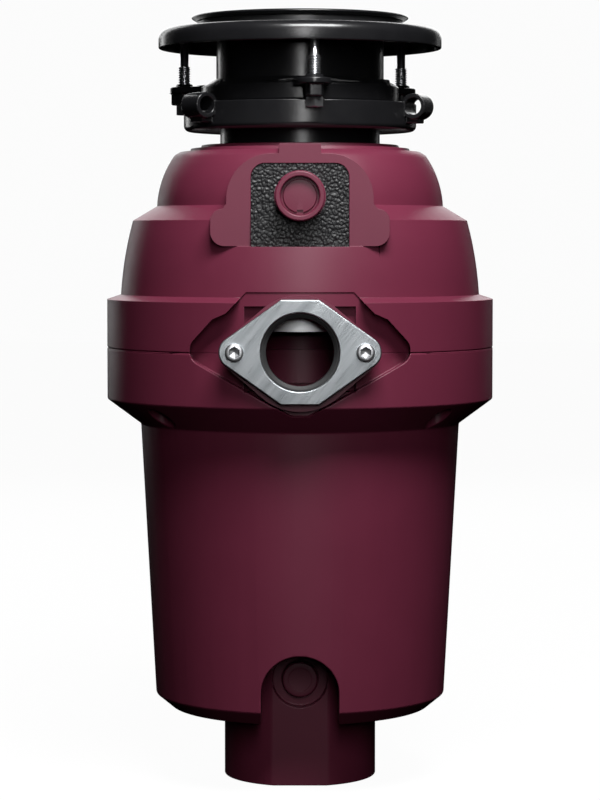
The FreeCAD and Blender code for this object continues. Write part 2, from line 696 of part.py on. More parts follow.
# ---------------------------------------------------------------- chamber gasket, bolts and grind ring
keep(revolved("chamber_gasket", [
    (grind_ring_radius + 0.2, chamber_top), (chamber_flange_radius - 6.0, chamber_top),
    (chamber_flange_radius - 6.0, chamber_top + 1.0), (grind_ring_radius + 0.2, chamber_top + 1.0)]))
chamber_bolts = []
for angle in (45, 135, 225, 315):
    reach = chamber_bolt_circle
    chamber_bolts.append(turn_about_axis(fuse(
        f"chamber_bolt_{angle}",
        cylinder(f"chamber_bolt_shank_{angle}", d.tie_bolt_radius, 11.5, (reach, 0, chamber_top - 5.5)),
        hexagon(f"chamber_bolt_head_{angle}", 5.0, 2.6, (reach, 0, chamber_top + 4.0)),
        hexagon(f"chamber_bolt_nut_{angle}", 5.0, 2.4,
                (reach, 0, chamber_top - d.chamber_flange_thickness - 2.4))),
        angle))
keep(group("chamber_bolts", chamber_bolts))

grind_ring = revolved("grind_ring", [
    (grind_ring_bore, grind_ring_foot), (grind_ring_radius, grind_ring_foot),
    (grind_ring_radius, grind_ring_top),
    (grind_ring_bore, grind_ring_top)])
grind_slot = add_pocket(grind_ring, "XY_Plane", grind_ring_foot, 9.0, points=[
    (-2.2, -grind_ring_radius + 1.5), (2.2, -grind_ring_radius + 1.5), (2.2, -grind_ring_bore + 2.0),
    (-2.2, -grind_ring_bore + 2.0)])
repeat_round(grind_ring, [grind_slot], 24)
keep(grind_ring)

# ---------------------------------------------------------------- turntable, lugs and shaft
keep(cut("turntable", revolved("turntable_disc", [
    (d.journal_radius, turntable_top - d.turntable_thickness - 6.0),
    (12, turntable_top - d.turntable_thickness - 6.0),
    (12, turntable_top - d.turntable_thickness),
    (d.skirt_radius - 2.0, turntable_top - d.turntable_thickness),
    (d.skirt_radius - 2.0, turret_top + 1.6), (d.skirt_radius, turret_top + 1.6),
    (d.skirt_radius, turntable_top - d.turntable_thickness),
    (turntable_radius, turntable_top - d.turntable_thickness),
    (turntable_radius, turntable_top), (d.journal_radius, turntable_top)]),
    *[turn_about_axis(cylinder(f"lug_pin_hole_{angle}", d.lug_pin_radius, 20,
                               (lug_offset, 0, turntable_top - 10.0)),
                      angle) for angle in (20, 200)],
    *[turn_about_axis(cylinder(f"drain_hole_{angle}", 3.0, 20, (lug_offset + 8.0, 0, turntable_top - 10.0)),
                      angle)
      for angle in (65, 110, 155, 245, 290, 335)],
    block("skirt_notch", (-1.5, -d.skirt_radius - 1.0, turntable_top - 6.5),
          (1.5, -d.skirt_radius + 3.0, turntable_top - d.turntable_thickness - 1.0))))
lug_foot = turntable_top + 0.3
keep(group("lug_pins", [turn_about_axis(fuse(
    f"lug_pin_{angle}",
    cylinder(f"lug_pin_shank_{angle}", d.lug_pin_radius, d.turntable_thickness + d.lug_height + 0.6,
             (lug_offset, 0, turntable_top - d.turntable_thickness)),
    cylinder(f"lug_pin_head_{angle}", d.lug_pin_radius + 2.0, 2.0,
             (lug_offset, 0, lug_foot + d.lug_height + 0.3)),
    cylinder(f"lug_pin_rivet_{angle}", d.lug_pin_radius + 1.5, 1.5,
             (lug_offset, 0, turntable_top - d.turntable_thickness - 1.5))), angle) for angle in (20, 200)]))
for number, angle in ((1, 20), (2, 200)):
    half = d.lug_width * 0.5
    tail = lug_offset + d.lug_length - half
    lug_body = new_body(f"lug_body_{number}")
    add_pad(lug_body, "XY_Plane", lug_foot, d.lug_height, points=[
        (lug_offset, -half, half + 0.1), (tail, -half + 2.0), (tail, half - 2.0, half - 1.9),
        (lug_offset, half)])
    step = block(f"lug_step_{number}", (lug_offset + half, -half, lug_foot + 6.0),
                 (tail + half, half, lug_foot + d.lug_height + 1.0))
    lug = turn_about_axis(cut(f"lug_shape_{number}", lug_body, step, cylinder(
        f"lug_bore_{number}", d.lug_pin_radius + d.running_gap, 20, (lug_offset, 0, lug_foot - 1.0))), angle)
    lug.Label = f"swivel_lug_{number}"
    keep(lug)

seal_top = seal_foot + 8.0
keep(revolved("shaft", [
    (0, shaft_foot), (d.journal_radius, shaft_foot),
    (d.journal_radius, d.motor_foot + d.frame_thickness + 3.0),
    (d.shaft_radius, d.motor_foot + d.frame_thickness + 3.0),
    (d.shaft_radius, turntable_top - d.turntable_thickness - 6.0),
    (d.journal_radius, turntable_top - d.turntable_thickness - 6.0), (d.journal_radius, turntable_top + 7.5),
    (0, turntable_top + 7.5)]))
keep(cut("turntable_nut", fuse("nut_body", hexagon("nut_hexagon", 19.0, 6.0, (0, 0, turntable_top + 1.0)),
                               cylinder("nut_washer", 12.0, 1.0, (0, 0, turntable_top))),
         cylinder("nut_bore", d.journal_radius, 20, (0, 0, turntable_top - 2.0))))
keep(revolved("slinger", [
    (d.shaft_radius, chamber_floor - 7.0), (13, chamber_floor - 7.0), (13, chamber_floor - 5.0),
    (d.shaft_radius + 2.0, chamber_floor - 5.0), (d.shaft_radius + 2.0, chamber_floor - 2.0),
    (d.shaft_radius, chamber_floor - 2.0)]))
keep(revolved("shaft_seal", [
    (d.shaft_radius + d.running_gap, seal_foot), (14.1, seal_foot), (14.1, seal_top),
    (d.shaft_radius + 3.0, seal_top), (d.shaft_radius + 3.0, seal_foot + 3.0),
    (d.shaft_radius + d.running_gap, seal_foot + 3.0)]))

# ---------------------------------------------------------------- motor
FOOT_SCREW_ANGLES = (90, 210, 330)
frame_top = d.motor_foot + d.frame_thickness
lid_foot = motor_lid - d.frame_thickness - 4.0
upper_bush_radius = d.shaft_radius + d.bush_wall
lower_bush_radius = d.journal_radius + d.bush_wall
tie_circle = motor_radius - d.can_wall - d.tie_bolt_radius - 1.4
keep(revolved("upper_bearing", [
    (d.shaft_radius + d.running_gap, lid_foot - 6.0), (upper_bush_radius, lid_foot - 6.0),
    (upper_bush_radius, motor_lid), (d.shaft_radius + d.running_gap, motor_lid)]))
keep(revolved("lower_bearing", [
    (d.journal_radius + d.running_gap, d.motor_foot - 4.0), (lower_bush_radius, d.motor_foot - 4.0),
    (lower_bush_radius, frame_top), (d.journal_radius + d.running_gap, frame_top)]))


def tie_bolts(name, radius, foot, top):
    return [turn_about_axis(cylinder(f"{name}_{angle}", radius, top - foot, (tie_circle, 0, foot)), angle)
            for angle in (0, 90, 180, 270)]


keep(cut("upper_end_frame", revolved("lid_body", [
    (upper_bush_radius, lid_foot - 6.0), (upper_bush_radius + 5.0, lid_foot - 6.0),
    (upper_bush_radius + 5.0, lid_foot),
    (motor_radius - d.can_wall, lid_foot), (motor_radius - d.can_wall, lid_foot + 4.0),
    (motor_radius, lid_foot + 4.0), (motor_radius, motor_lid), (upper_bush_radius, motor_lid)]),
    *tie_bolts("lid_hole", d.tie_bolt_radius, lid_foot - 1.0, motor_lid + 1.0)))
keep(cut("lower_end_frame", revolved("frame_body", [
    (lower_bush_radius, d.motor_foot - 4.0), (lower_bush_radius + 5.0, d.motor_foot - 4.0),
    (lower_bush_radius + 5.0, d.motor_foot), (motor_radius, d.motor_foot), (motor_radius, frame_top - 3.0),
    (motor_radius - d.can_wall, frame_top - 3.0), (motor_radius - d.can_wall, frame_top),
    (lower_bush_radius, frame_top)]),
    *tie_bolts("frame_hole", d.tie_bolt_radius, d.motor_foot - 1.0, frame_top + 1.0),
    *[turn_about_axis(cylinder(f"foot_screw_seat_{angle}", 1.7, 7,
                               (d.foot_radius - 6.0, 0, d.motor_foot - 1.0)), angle)
      for angle in FOOT_SCREW_ANGLES]))
keep(revolved("motor_can", [
    (motor_radius - d.can_wall, frame_top - 3.0), (motor_radius, frame_top - 3.0),
    (motor_radius, lid_foot + 4.0),
    (motor_radius - d.can_wall, lid_foot + 4.0)]))
keep(group("through_bolts", [turn_about_axis(fuse(
    f"tie_bolt_{angle}", cylinder(f"tie_rod_{angle}", d.tie_bolt_radius, motor_lid - d.motor_foot + 1.0,
                                  (tie_circle, 0, d.motor_foot - 1.0)),
    hexagon(f"tie_head_{angle}", 7.0, 2.8, (tie_circle, 0, motor_lid))),
    angle) for angle in (0, 90, 180, 270)]))

stator_radius = motor_radius - d.can_wall
stator_bore = d.rotor_radius + d.air_gap
slot_back = stator_bore + 14.0
stator = new_body("stator_core")
add_pad(stator, "XY_Plane", stack_foot, d.stack_height, circle=(0, 0, stator_radius))
add_pocket(stator, "XY_Plane", stack_foot, d.stack_height, circle=(0, 0, stator_bore))
stator_slot = add_pocket(stator, "XY_Plane", stack_foot, d.stack_height, points=[
    (3.4, stator_bore + 2.0), (4.6, slot_back), (-4.6, slot_back), (-3.4, stator_bore + 2.0)])
repeat_round(stator, [stator_slot], 18)
stator_notch = add_pocket(stator, "XY_Plane", stack_foot, d.stack_height,
                          circle=(tie_circle, 0, d.tie_bolt_radius + 0.6))
repeat_round(stator, [stator_notch], 4)
keep(stator)
winding = revolved("winding_head", [
    (stator_bore + 2.5, stack_top + 0.5), (slot_back - 0.5, stack_top + 0.5),
    (slot_back + 1.0, stack_top + d.winding_height - 4.0), (slot_back - 3.0, stack_top + d.winding_height),
    (stator_bore + 5.0, stack_top + d.winding_height),
    (stator_bore + 1.5, stack_top + d.winding_height - 4.0)])
coil_side = add_pad(winding, "XY_Plane", stack_foot - 1.0, d.stack_height + 2.0, points=[
    (3.0, stator_bore + 2.6), (4.1, slot_back - 0.5), (-4.1, slot_back - 0.5), (-3.0, stator_bore + 2.6)])
repeat_round(winding, [coil_side], 18)
keep(fuse("stator_windings", winding, revolved("winding_foot", [
    (stator_bore + 2.5, stack_foot - 0.5), (stator_bore + 1.5, stack_foot - d.winding_height + 4.0),
    (stator_bore + 5.0, stack_foot - d.winding_height), (slot_back - 3.0, stack_foot - d.winding_height),
    (slot_back + 1.0, stack_foot - d.winding_height + 4.0), (slot_back - 0.5, stack_foot - 0.5)])))
keep(revolved("rotor_core", [
    (d.shaft_radius, stack_foot), (d.rotor_radius, stack_foot), (d.rotor_radius, stack_top),
    (d.shaft_radius, stack_top)]))
cage = revolved("cage_rings", [
    (18, stack_top), (d.rotor_radius - 1.0, stack_top), (d.rotor_radius - 1.0, stack_top + 5.0),
    (18, stack_top + 5.0)])
fin = add_pad(cage, "XY_Plane", stack_top + 4.0, 6.0, points=[
    (-1, 20), (1, 20), (1, d.rotor_radius - 2.0), (-1, d.rotor_radius - 2.0)])
repeat_round(cage, [fin], 8)
keep(group("rotor_cage", [cage, revolved("cage_foot", [
    (18, stack_foot - 5.0), (d.rotor_radius - 1.0, stack_foot - 5.0), (d.rotor_radius - 1.0, stack_foot),
    (18, stack_foot)])]))

keep(revolved("lower_insulation", [
    (motor_radius + 0.5, frame_top + 2.0), (motor_radius + 8.5, frame_top + 2.0),
    (motor_radius + 12.5, lid_foot - 6.0), (motor_radius + 0.5, lid_foot - 6.0)]))
keep(revolved("upper_insulation", [
    (chamber_radius + 3.0, chamber_top + 8.0), (chamber_flange_radius, chamber_top + 8.0),
    (chamber_flange_radius - 2.0, dome_top - 16.0), (chamber_radius + 3.0, dome_top - 16.0)]))

# ---------------------------------------------------------------- foot housing, reset button and electrics
foot_bore = d.foot_radius - d.foot_wall
facet = math.sqrt(d.foot_radius.value ** 2 - (d.foot_flat_width.value / 2) ** 2)
facet_inside = facet - d.foot_wall.value
button_floor = facet - d.button_recess_depth.value
boss_back = button_floor - 3.3
screw_ring = d.foot_radius - 6.0
cover_screw_offset = foot_bore - 4.3
foot_room = cut("foot_room", cylinder("foot_room_round", foot_bore, d.motor_foot + 1.0, (0, 0, -0.5)),
                block("foot_room_flat", (-50, -60, -1), (50, -facet_inside, 200)))
foot_shelf = common("foot_shelf", cylinder("shelf_round", d.foot_radius - 1.0, 2, (0, 0, 26)),
                    block("shelf_limit", (-50, -2, 26), (50, 50, 28)))
button_boss = cylinder("button_boss", d.button_recess_radius + 2.8, facet_inside + 1.0 - boss_back,
                       (0, -boss_back, d.button_height), FRONT)
foot_posts = [common(f"foot_post_{angle}", turn_about_axis(
    cylinder(f"foot_post_rod_{angle}", 5.2, 14, (screw_ring, 0, d.motor_foot - 14.0)), angle), cylinder(
        f"foot_post_limit_{angle}", d.foot_radius, 200, (0, 0, 0))) for angle in FOOT_SCREW_ANGLES]
cover_posts = [cylinder(f"cover_post_{side:+d}", 5.0, 14,
                        (side * cover_screw_offset, 0, d.cover_thickness)) for side in (-1, 1)]
foot_walls = cut("foot_walls", cylinder("foot_round", d.foot_radius, d.motor_foot, (0, 0, 0)), foot_room,
                 block("foot_facet", (-30, -60, -1), (30, -facet, 200)))
keep(cut("base_housing", fuse("foot_body", foot_walls, foot_shelf, button_boss, *foot_posts, *cover_posts),
         cylinder("button_recess", d.button_recess_radius, 20, (0, -button_floor, d.button_height), FRONT),
         cylinder("button_hole", d.button_radius + d.clearance, 30, (0, -boss_back + 5.0, d.button_height),
                  FRONT),
         *[cylinder(f"cover_screw_seat_{side:+d}", 1.5, 12,
                    (side * cover_screw_offset, 0, d.cover_thickness - 1.0))
           for side in (-1, 1)],
         *[turn_about_axis(cylinder(f"foot_screw_way_{angle}", 1.7, 30,
                                    (screw_ring, 0, d.motor_foot - 20.0)), angle)
           for angle in FOOT_SCREW_ANGLES]))
keep(group("base_screws", [turn_about_axis(fuse(
    f"base_screw_{angle}", cylinder(f"base_screw_shank_{angle}", 1.7, 20,
                                    (screw_ring, 0, d.motor_foot - 14.0)),
    cylinder(f"base_screw_head_{angle}", 2.8, 2.4, (screw_ring, 0, d.motor_foot - 16.4))), angle)
    for angle in FOOT_SCREW_ANGLES]))
keep(cut("terminal_cover", cylinder("cover_disc", foot_bore - 0.2, d.cover_thickness, (0, 0, 0)),
         block("cover_flat", (-50, -60, -1), (50, -facet_inside + 0.2, 10)),
         cylinder("cable_hole", d.cable_hole_radius, 10, (0, 14, -3)),
         *[cylinder(f"cover_screw_hole_{side:+d}", 1.6, 10,
                    (side * cover_screw_offset, 0, -3)) for side in (-1, 1)],
         *[cylinder(f"cover_screw_sink_{side:+d}", 3.2, 3,
                    (side * cover_screw_offset, 0, -1.2)) for side in (-1, 1)]))
keep(group("cover_screws", [fuse(
    f"cover_screw_{side:+d}", cylinder(f"cover_screw_head_{side:+d}", 3.1, 1.5,
                                       (side * cover_screw_offset, 0, 0.3)),
    cylinder(f"cover_screw_shank_{side:+d}", 1.5, 11, (side * cover_screw_offset, 0, 1.8))) for side in (-1,
                                                                                                         1)]))
keep(fuse("ground_screw", cylinder("ground_stud", 2.0, 5, (16, -16, d.cover_thickness)),
          hexagon("ground_head", 7.0, 2.5, (16, -16, d.cover_thickness + 3.5))))
keep(cut("terminal_block", block("terminal_body", (-12, 12, 14), (12, 26, 26)),
         *[cylinder(f"terminal_hole_{place:+d}", 1.6, 20, (place * 7, 10, 20), Rotation(Vector(1, 0, 0), -90))
           for place in (-1, 0, 1)]))
keep(fuse("start_capacitor", cylinder("capacitor_can", 11, 40, (-14, 14, 28)),
          cylinder("capacitor_pin_left", 1.2, 46, (-18, 14, 28)),
          cylinder("capacitor_pin_right", 1.2, 46, (-10, 14, 28))))
keep(fuse("start_relay", block("relay_case", (6, 2, 28), (28, 20, 50)),
          block("relay_tabs", (14, 8, 50), (20, 14, 56))))
keep(fuse("overload_protector",
          block("overload_case", (-13, -boss_back + 6.0, d.button_height - 10.0),
                (13, -boss_back + 18.0, d.button_height + 10.0)),
          *[block(f"overload_arm_{side:+d}", (side * 12.1 - 0.9, -boss_back, d.button_height - 5.0),
                  (side * 12.1 + 0.9, -boss_back + 6.0, d.button_height + 5.0)) for side in (-1, 1)]))
keep(cut("reset_button", fuse("button_body",
                              cylinder("button_cap", d.button_radius, facet - 1.2 - boss_back,
                                       (0, -boss_back, d.button_height), FRONT),
                              cylinder("button_flange", d.button_radius + 1.5, 1.2,
                                       (0, -boss_back + 1.5, d.button_height), FRONT),
                              cylinder("button_neck", d.button_radius, 1.0,
                                       (0, -boss_back + 0.5, d.button_height), FRONT)),
         cylinder("button_dish", 6.2, 5, (0, -facet + 1.8, d.button_height), FRONT)))
spring_path = doc.addObject("Part::Helix", "spring_path")
spring_path.Pitch = 1.4
spring_path.Height = 3.6
spring_path.Radius = 4.2
spring_wire = doc.addObject("Part::Circle", "spring_wire")
spring_wire.Radius = 0.4
spring_wire.Placement = Placement(Vector(4.2, 0, 0), Rotation(Vector(1, 0, 0), 90))
reset_spring = doc.addObject("Part::Sweep", "reset_spring")
reset_spring.Sections = [spring_wire]
reset_spring.Spine = (spring_path, ["Edge1"])
reset_spring.Solid = True
reset_spring.Frenet = True
reset_spring.Placement = Placement(Vector(0, -boss_back + 5.5, d.button_height.value), FRONT)
keep(reset_spring)
housing_screws = []
for index, (head, shank) in enumerate(zip(
        corner_posts("housing_screw_head", 4.4, pocket_top - 3.2, pocket_top),
        corner_posts("housing_screw_shank", housing_screw_radius, pocket_top, post_top - 4.0))):
    housing_screws.append(fuse(f"housing_screw_{index + 1}", head, shank))
keep(group("housing_screws", housing_screws))

# ---------------------------------------------------------------- sink flange, gasket and support ring
snap_foot = ring_foot + 3.0
snap_top = snap_foot + 2.0
guard_foot = lock_foot + d.guard_level
throat_ledge = flange_throat_radius - 1.8
keep(revolved("sink_flange", [
    (throat_ledge, flange_foot), (flange_neck_radius, flange_foot), (flange_neck_radius, snap_foot),
    (flange_neck_radius - 1.2, snap_foot), (flange_neck_radius - 1.2, snap_top),
    (flange_neck_radius, snap_top), (flange_neck_radius, gasket_top), (lip_radius - 3.3, gasket_top),
    (lip_radius, lip_top - 0.8), (lip_radius - 1.0, lip_top, 1.4),
    (flange_throat_radius + 6.0, lip_top - 0.6),
    (flange_throat_radius, lip_top - 6.6, 6.5), (flange_throat_radius, guard_foot),
    (throat_ledge, guard_foot)]))
keep(revolved("sink_gasket", [
    (flange_neck_radius + 0.4, support_top), (sink_gasket_radius, support_top),
    (sink_gasket_radius, gasket_top), (flange_neck_radius + 0.4, gasket_top)]))
support_hole = flange_neck_radius + 0.5
inner_corner = d.support_corner - d.support_wall
keep(revolved("support_ring", [
    (support_hole, support_top), (support_hole, support_top - d.support_wall),
    (support_radius - d.support_corner, support_top - d.support_wall),
    (support_radius - d.support_wall, support_top - d.support_corner, -inner_corner),
    (support_radius - d.support_wall, support_top - d.support_depth),
    (support_radius, support_top - d.support_depth), (support_radius, support_top - d.support_corner),
    (support_radius - d.support_corner, support_top, d.support_corner)]))
keep(cut("snap_ring", revolved("snap_hoop", [
    (flange_neck_radius - 1.2, snap_foot), (flange_neck_radius + 2.2, snap_foot),
    (flange_neck_radius + 2.2, snap_top), (flange_neck_radius - 1.2, snap_top)]),
    block("snap_gap", (-5, 30, snap_foot - 1.0), (5, 60, snap_top + 1.0))))
keep(revolved("cushion_mount", [
    (neck_bore, bead_top), (neck_bead_radius - 0.2, bead_top), (neck_bead_radius - 0.2, flange_foot),
    (neck_bore, flange_foot)]))
guard_radius = flange_throat_radius - 0.5
splash_guard = revolved("splash_guard", [
    (12, guard_foot + 0.2), (guard_radius, guard_foot + 0.2), (guard_radius, guard_foot + d.guard_height),
    (guard_radius - 1.5, guard_foot + d.guard_height), (guard_radius - 1.5, guard_foot + 1.8),
    (12, guard_foot + 1.8)])
guard_slit = add_pocket(splash_guard, "XY_Plane", guard_foot, 2.5, points=[
    (-0.5, -guard_radius + 6.0), (0.5, -guard_radius + 6.0), (0.5, -10), (-0.5, -10)])
repeat_round(splash_guard, [guard_slit], 8)
keep(splash_guard)

# ---------------------------------------------------------------- upper mounting ring and its screws
skirt_radius = mount_ring_radius - 1.5
skirt_bore = neck_bead_radius + 0.4
skirt_foot = lock_foot + 6.8
ear_foot = ring_rim_top - 1.7
web_foot = ring_foot + 0.4
upper_ring = revolved("upper_ring_body", [
    (skirt_bore, skirt_foot), (skirt_radius, skirt_foot), (skirt_radius, ring_foot),
    (mount_ring_radius, ring_foot),
    (mount_ring_radius, ring_rim_top), (flange_neck_radius + 0.3, ring_top),
    (flange_neck_radius + 0.3, snap_top), (skirt_bore, snap_top)])
ear_half = d.ear_half_width
ear_pads = [
    add_pad(upper_ring, "XY_Plane", ear_foot, d.ear_thickness, points=[
        (-ear_half, -mount_ring_radius + 3.5), (-ear_half, -screw_offset),
        (ear_half, -screw_offset, ear_half + 0.1), (ear_half, -mount_ring_radius + 3.5)]),
    add_pad(upper_ring, "XY_Plane", web_foot, ear_foot - web_foot + 0.5, points=[
        (-3.3, -mount_ring_radius + 2.0), (-3.3, -screw_offset - 6.5), (3.3, -screw_offset - 6.5),
        (3.3, -mount_ring_radius + 2.0)]),
    add_pad(upper_ring, "XY_Plane", web_foot, ear_foot - web_foot + d.ear_thickness + 1.6,
            circle=(0, -screw_offset, d.ear_boss_radius)),
    add_pocket(upper_ring, "XY_Plane", web_foot - 2.0, 20,
               circle=(0, -screw_offset, d.screw_radius + d.running_gap)),
    add_pad(upper_ring, "XY_Plane", skirt_foot, 3.1, points=[
        (-12, skirt_radius - 1.0), (12, skirt_radius - 1.0), (12, skirt_radius + 5.5),
        (-12, skirt_radius + 5.5)]),
    add_pad(upper_ring, "XY_Plane", ring_rim_top - 1.0, 4.0, points=[
        (-2, mount_ring_radius - 5.0), (2, mount_ring_radius - 5.0), (2, mount_ring_radius - 1.5),
        (-2, mount_ring_radius - 1.5)])]
repeat_round(upper_ring, ear_pads, 3)
upper_mounting_ring = turn_about_axis(upper_ring, d.screw_angle)
upper_mounting_ring.Label = "upper_mounting_ring"
keep(upper_mounting_ring)

head_foot = ring_foot - 4.8
for number in (1, 2, 3):
    thread_foot = head_foot + d.head_height
    thread_top = thread_foot + d.screw_thread_length
    screw = fuse(f"screw_body_{number}",
                 hexagon(f"screw_head_{number}", d.head_flats, d.head_height, (0, -screw_offset, head_foot)),
                 cylinder(f"screw_thread_{number}", d.screw_radius, d.screw_thread_length,
                          (0, -screw_offset, thread_foot)),
                 cylinder(f"screw_dog_{number}", d.dog_radius,
                          support_top - d.support_wall - 0.7 - thread_top,
                          (0, -screw_offset, thread_top)))
    mounting_screw = turn_about_axis(screw, d.screw_angle + (number - 1) * 120.0)
    mounting_screw.Label = f"mounting_screw_{number}"
    keep(mounting_screw)

# ---------------------------------------------------------------- lock ring with its wrench tubes
lock_bore = lock_radius - d.lock_wall
tube_height = lock_foot + 12.0
lock_body = revolved("lock_body", [
    (d.neck_radius + 0.6, lock_foot), (lock_radius - 3.0, lock_foot), (lock_radius, lock_foot + 3.0, 3.0),
    (lock_radius, lock_top), (lock_bore, lock_top), (lock_bore, lock_foot + d.lock_floor),
    (d.neck_radius + 0.6, lock_foot + d.lock_floor)])
lock_features = [
    add_pad(lock_body, "XY_Plane", skirt_foot + 3.5, 3.2, points=[
        (-12.5, -lock_bore - 1.0), (12.5, -lock_bore - 1.0), (12.5, -skirt_radius - 3.5),
        (-12.5, -skirt_radius - 3.5)]),
    add_pad(lock_body, "YZ_Plane", d.tube_length * -0.5, d.tube_length,
            circle=(-tube_offset, tube_height, d.tube_radius)),
    add_pad(lock_body, "XY_Plane", lock_foot + 3.5, tube_height - d.tube_bore - 1.0 - lock_foot - 3.5,
            points=[
        (-5, -tube_offset - 2.0), (5, -tube_offset - 2.0), (5, -lock_bore - 1.0), (-5, -lock_bore - 1.0)]),
    add_pocket(lock_body, "YZ_Plane", -20, 40, circle=(-tube_offset, tube_height, d.tube_bore))]
repeat_round(lock_body, lock_features, 3)
lock_ring = turn_about_axis(lock_body, d.lock_angle)
lock_ring.Label = "lock_ring"
keep(lock_ring)

# ---------------------------------------------------------------- checks and files
doc.recompute()
for item in doc.Objects:
    if "Invalid" in item.State or "Error" in item.State:
        raise RuntimeError(f"{item.Name} did not rebuild")
for label, item in nodes.items():
    if item.Shape.isNull() or not item.Shape.isValid():
        raise RuntimeError(f"{label} has no valid shape")
os.makedirs("parts", exist_ok=True)
for label, item in nodes.items():
    item.Shape.exportStep(f"parts/{label}.step")
    box = item.Shape.BoundBox
    print(f"{label:22s} solids {len(item.Shape.Solids):2d} volume {item.Shape.Volume:10.1f}"
          f" x {box.XMin:7.1f} {box.XMax:7.1f} y {box.YMin:7.1f} {box.YMax:7.1f}"
          f" z {box.ZMin:6.1f} {box.ZMax:6.1f}")
print(len(nodes), "sub-parts written")
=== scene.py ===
import math

import bmesh
import bpy
from mathutils import Matrix, Vector, noise


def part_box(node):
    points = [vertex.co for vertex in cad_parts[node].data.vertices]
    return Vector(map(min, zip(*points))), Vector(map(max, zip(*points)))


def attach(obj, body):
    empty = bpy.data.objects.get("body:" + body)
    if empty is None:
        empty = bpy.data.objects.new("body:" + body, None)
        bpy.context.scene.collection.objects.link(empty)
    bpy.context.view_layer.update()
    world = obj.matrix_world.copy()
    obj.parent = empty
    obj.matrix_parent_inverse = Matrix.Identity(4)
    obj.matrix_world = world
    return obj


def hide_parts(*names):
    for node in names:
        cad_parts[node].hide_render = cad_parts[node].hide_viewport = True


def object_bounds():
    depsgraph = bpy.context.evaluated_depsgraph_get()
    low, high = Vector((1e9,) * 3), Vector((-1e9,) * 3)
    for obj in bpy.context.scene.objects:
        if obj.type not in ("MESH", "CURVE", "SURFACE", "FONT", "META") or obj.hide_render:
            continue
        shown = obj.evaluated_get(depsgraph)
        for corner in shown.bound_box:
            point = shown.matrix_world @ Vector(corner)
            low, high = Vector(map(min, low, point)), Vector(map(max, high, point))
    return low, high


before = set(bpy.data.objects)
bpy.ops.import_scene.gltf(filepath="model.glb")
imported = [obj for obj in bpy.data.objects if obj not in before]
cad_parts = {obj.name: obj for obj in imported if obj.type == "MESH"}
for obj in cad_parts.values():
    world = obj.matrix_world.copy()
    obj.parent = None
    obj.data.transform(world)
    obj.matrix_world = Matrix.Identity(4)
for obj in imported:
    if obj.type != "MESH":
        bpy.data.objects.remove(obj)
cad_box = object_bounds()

# ---------------------------------------------------------------- stator core
# The stator is a stack of punched electrical steel sheets pressed into the motor can.
# Every sheet shows as a fine line round the stack, which is dull grey from its oxide coat.
SHEET_THICKNESS = 0.0005
WAVE_SCALE = 0.314


class Wire:
    """A number on its way through a finish. Sums written with it become Math nodes."""

    def __init__(self, finish, socket):
        self.finish = finish
        self.socket = socket

    def sum(self, operation, first, second):
        return self.finish.add("ShaderNodeMath", {"operation": operation}, {0: first, 1: second})

    def __add__(self, other):
        return self.sum("ADD", self, other)

    def __sub__(self, other):
        return self.sum("SUBTRACT", self, other)

    def __rsub__(self, other):
        return self.sum("SUBTRACT", other, self)

    def __mul__(self, other):
        return self.sum("MULTIPLY", self, other)

    __radd__ = __add__
    __rmul__ = __mul__


class Finish:
    """One surface finish: its material, its shader and the nodes that vary it over the surface."""

    def __init__(self, name, metallic=0.0):
        self.material = bpy.data.materials.new(name)
        self.material.use_nodes = True
        self.tree = self.material.node_tree
        self.shader = self.tree.nodes["Principled BSDF"]
        self.feed(self.shader.inputs["Metallic"], metallic)
        self.place = self.add("ShaderNodeTexCoord", {}, {}, "Object")

    def feed(self, socket, value):
        if isinstance(value, Wire):
            self.tree.links.new(value.socket, socket)
        else:
            socket.default_value = value

    def add(self, kind, settings, sockets, output=0):
        """A node of that type with its settings made first, then the values or links of its sockets."""
        node = self.tree.nodes.new(kind)
        for name, value in settings.items():
            setattr(node, name, value)
        for name, value in sockets.items():
            self.feed(node.inputs[name], value)
        return Wire(self, node.outputs[output])

    def grain(self, size, detail=2.0, stretch=None):
        """Soft random pattern whose spots are about that size in metres, drawn out along an axis if asked."""
        place = self.place if stretch is None else stretch
        return self.add("ShaderNodeTexNoise", {"noise_dimensions": "3D"},
                        {"Vector": place, "Scale": 1.0 / size, "Detail": detail, "Roughness": 0.55}, "Fac")

    def stretched(self, scale, turn=(0, 0, 0), source=None):
        """The place on the piece, or another place, scaled and then turned."""
        return self.add("ShaderNodeMapping", {},
                        {"Vector": source or self.place, "Scale": scale, "Rotation": turn})

    def between(self, mask, low, high, edges):
        """Steps from low to high as the mask goes between the two edges."""
        return self.add("ShaderNodeMapRange", {}, {"Value": mask, "From Min": edges[0], "From Max": edges[1],
                                                   "To Min": low, "To Max": high})

    def colour(self, mask, first, second):
        mixed = self.add("ShaderNodeMix", {"data_type": "RGBA"},
                         {0: mask, 6: (*first, 1), 7: (*second, 1)}, 2)
        self.feed(self.shader.inputs["Base Color"], mixed)

    def roughness(self, value):
        self.feed(self.shader.inputs["Roughness"], value)

    def relief(self, height, depth):
        """Lets the pattern stand out of the surface by up to that depth in metres."""
        bump = self.add("ShaderNodeBump", {},
                        {"Height": height, "Distance": depth, "Strength": 1.0}, "Normal")
        self.feed(self.shader.inputs["Normal"], bump)


def cover(finish, *names):
    """Gives the named CAD pieces their finish."""
    for name in names:
        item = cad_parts[name]
        if not item.material_slots:
            item.data.materials.append(finish.material)
        for slot in item.material_slots:
            slot.material = finish.material


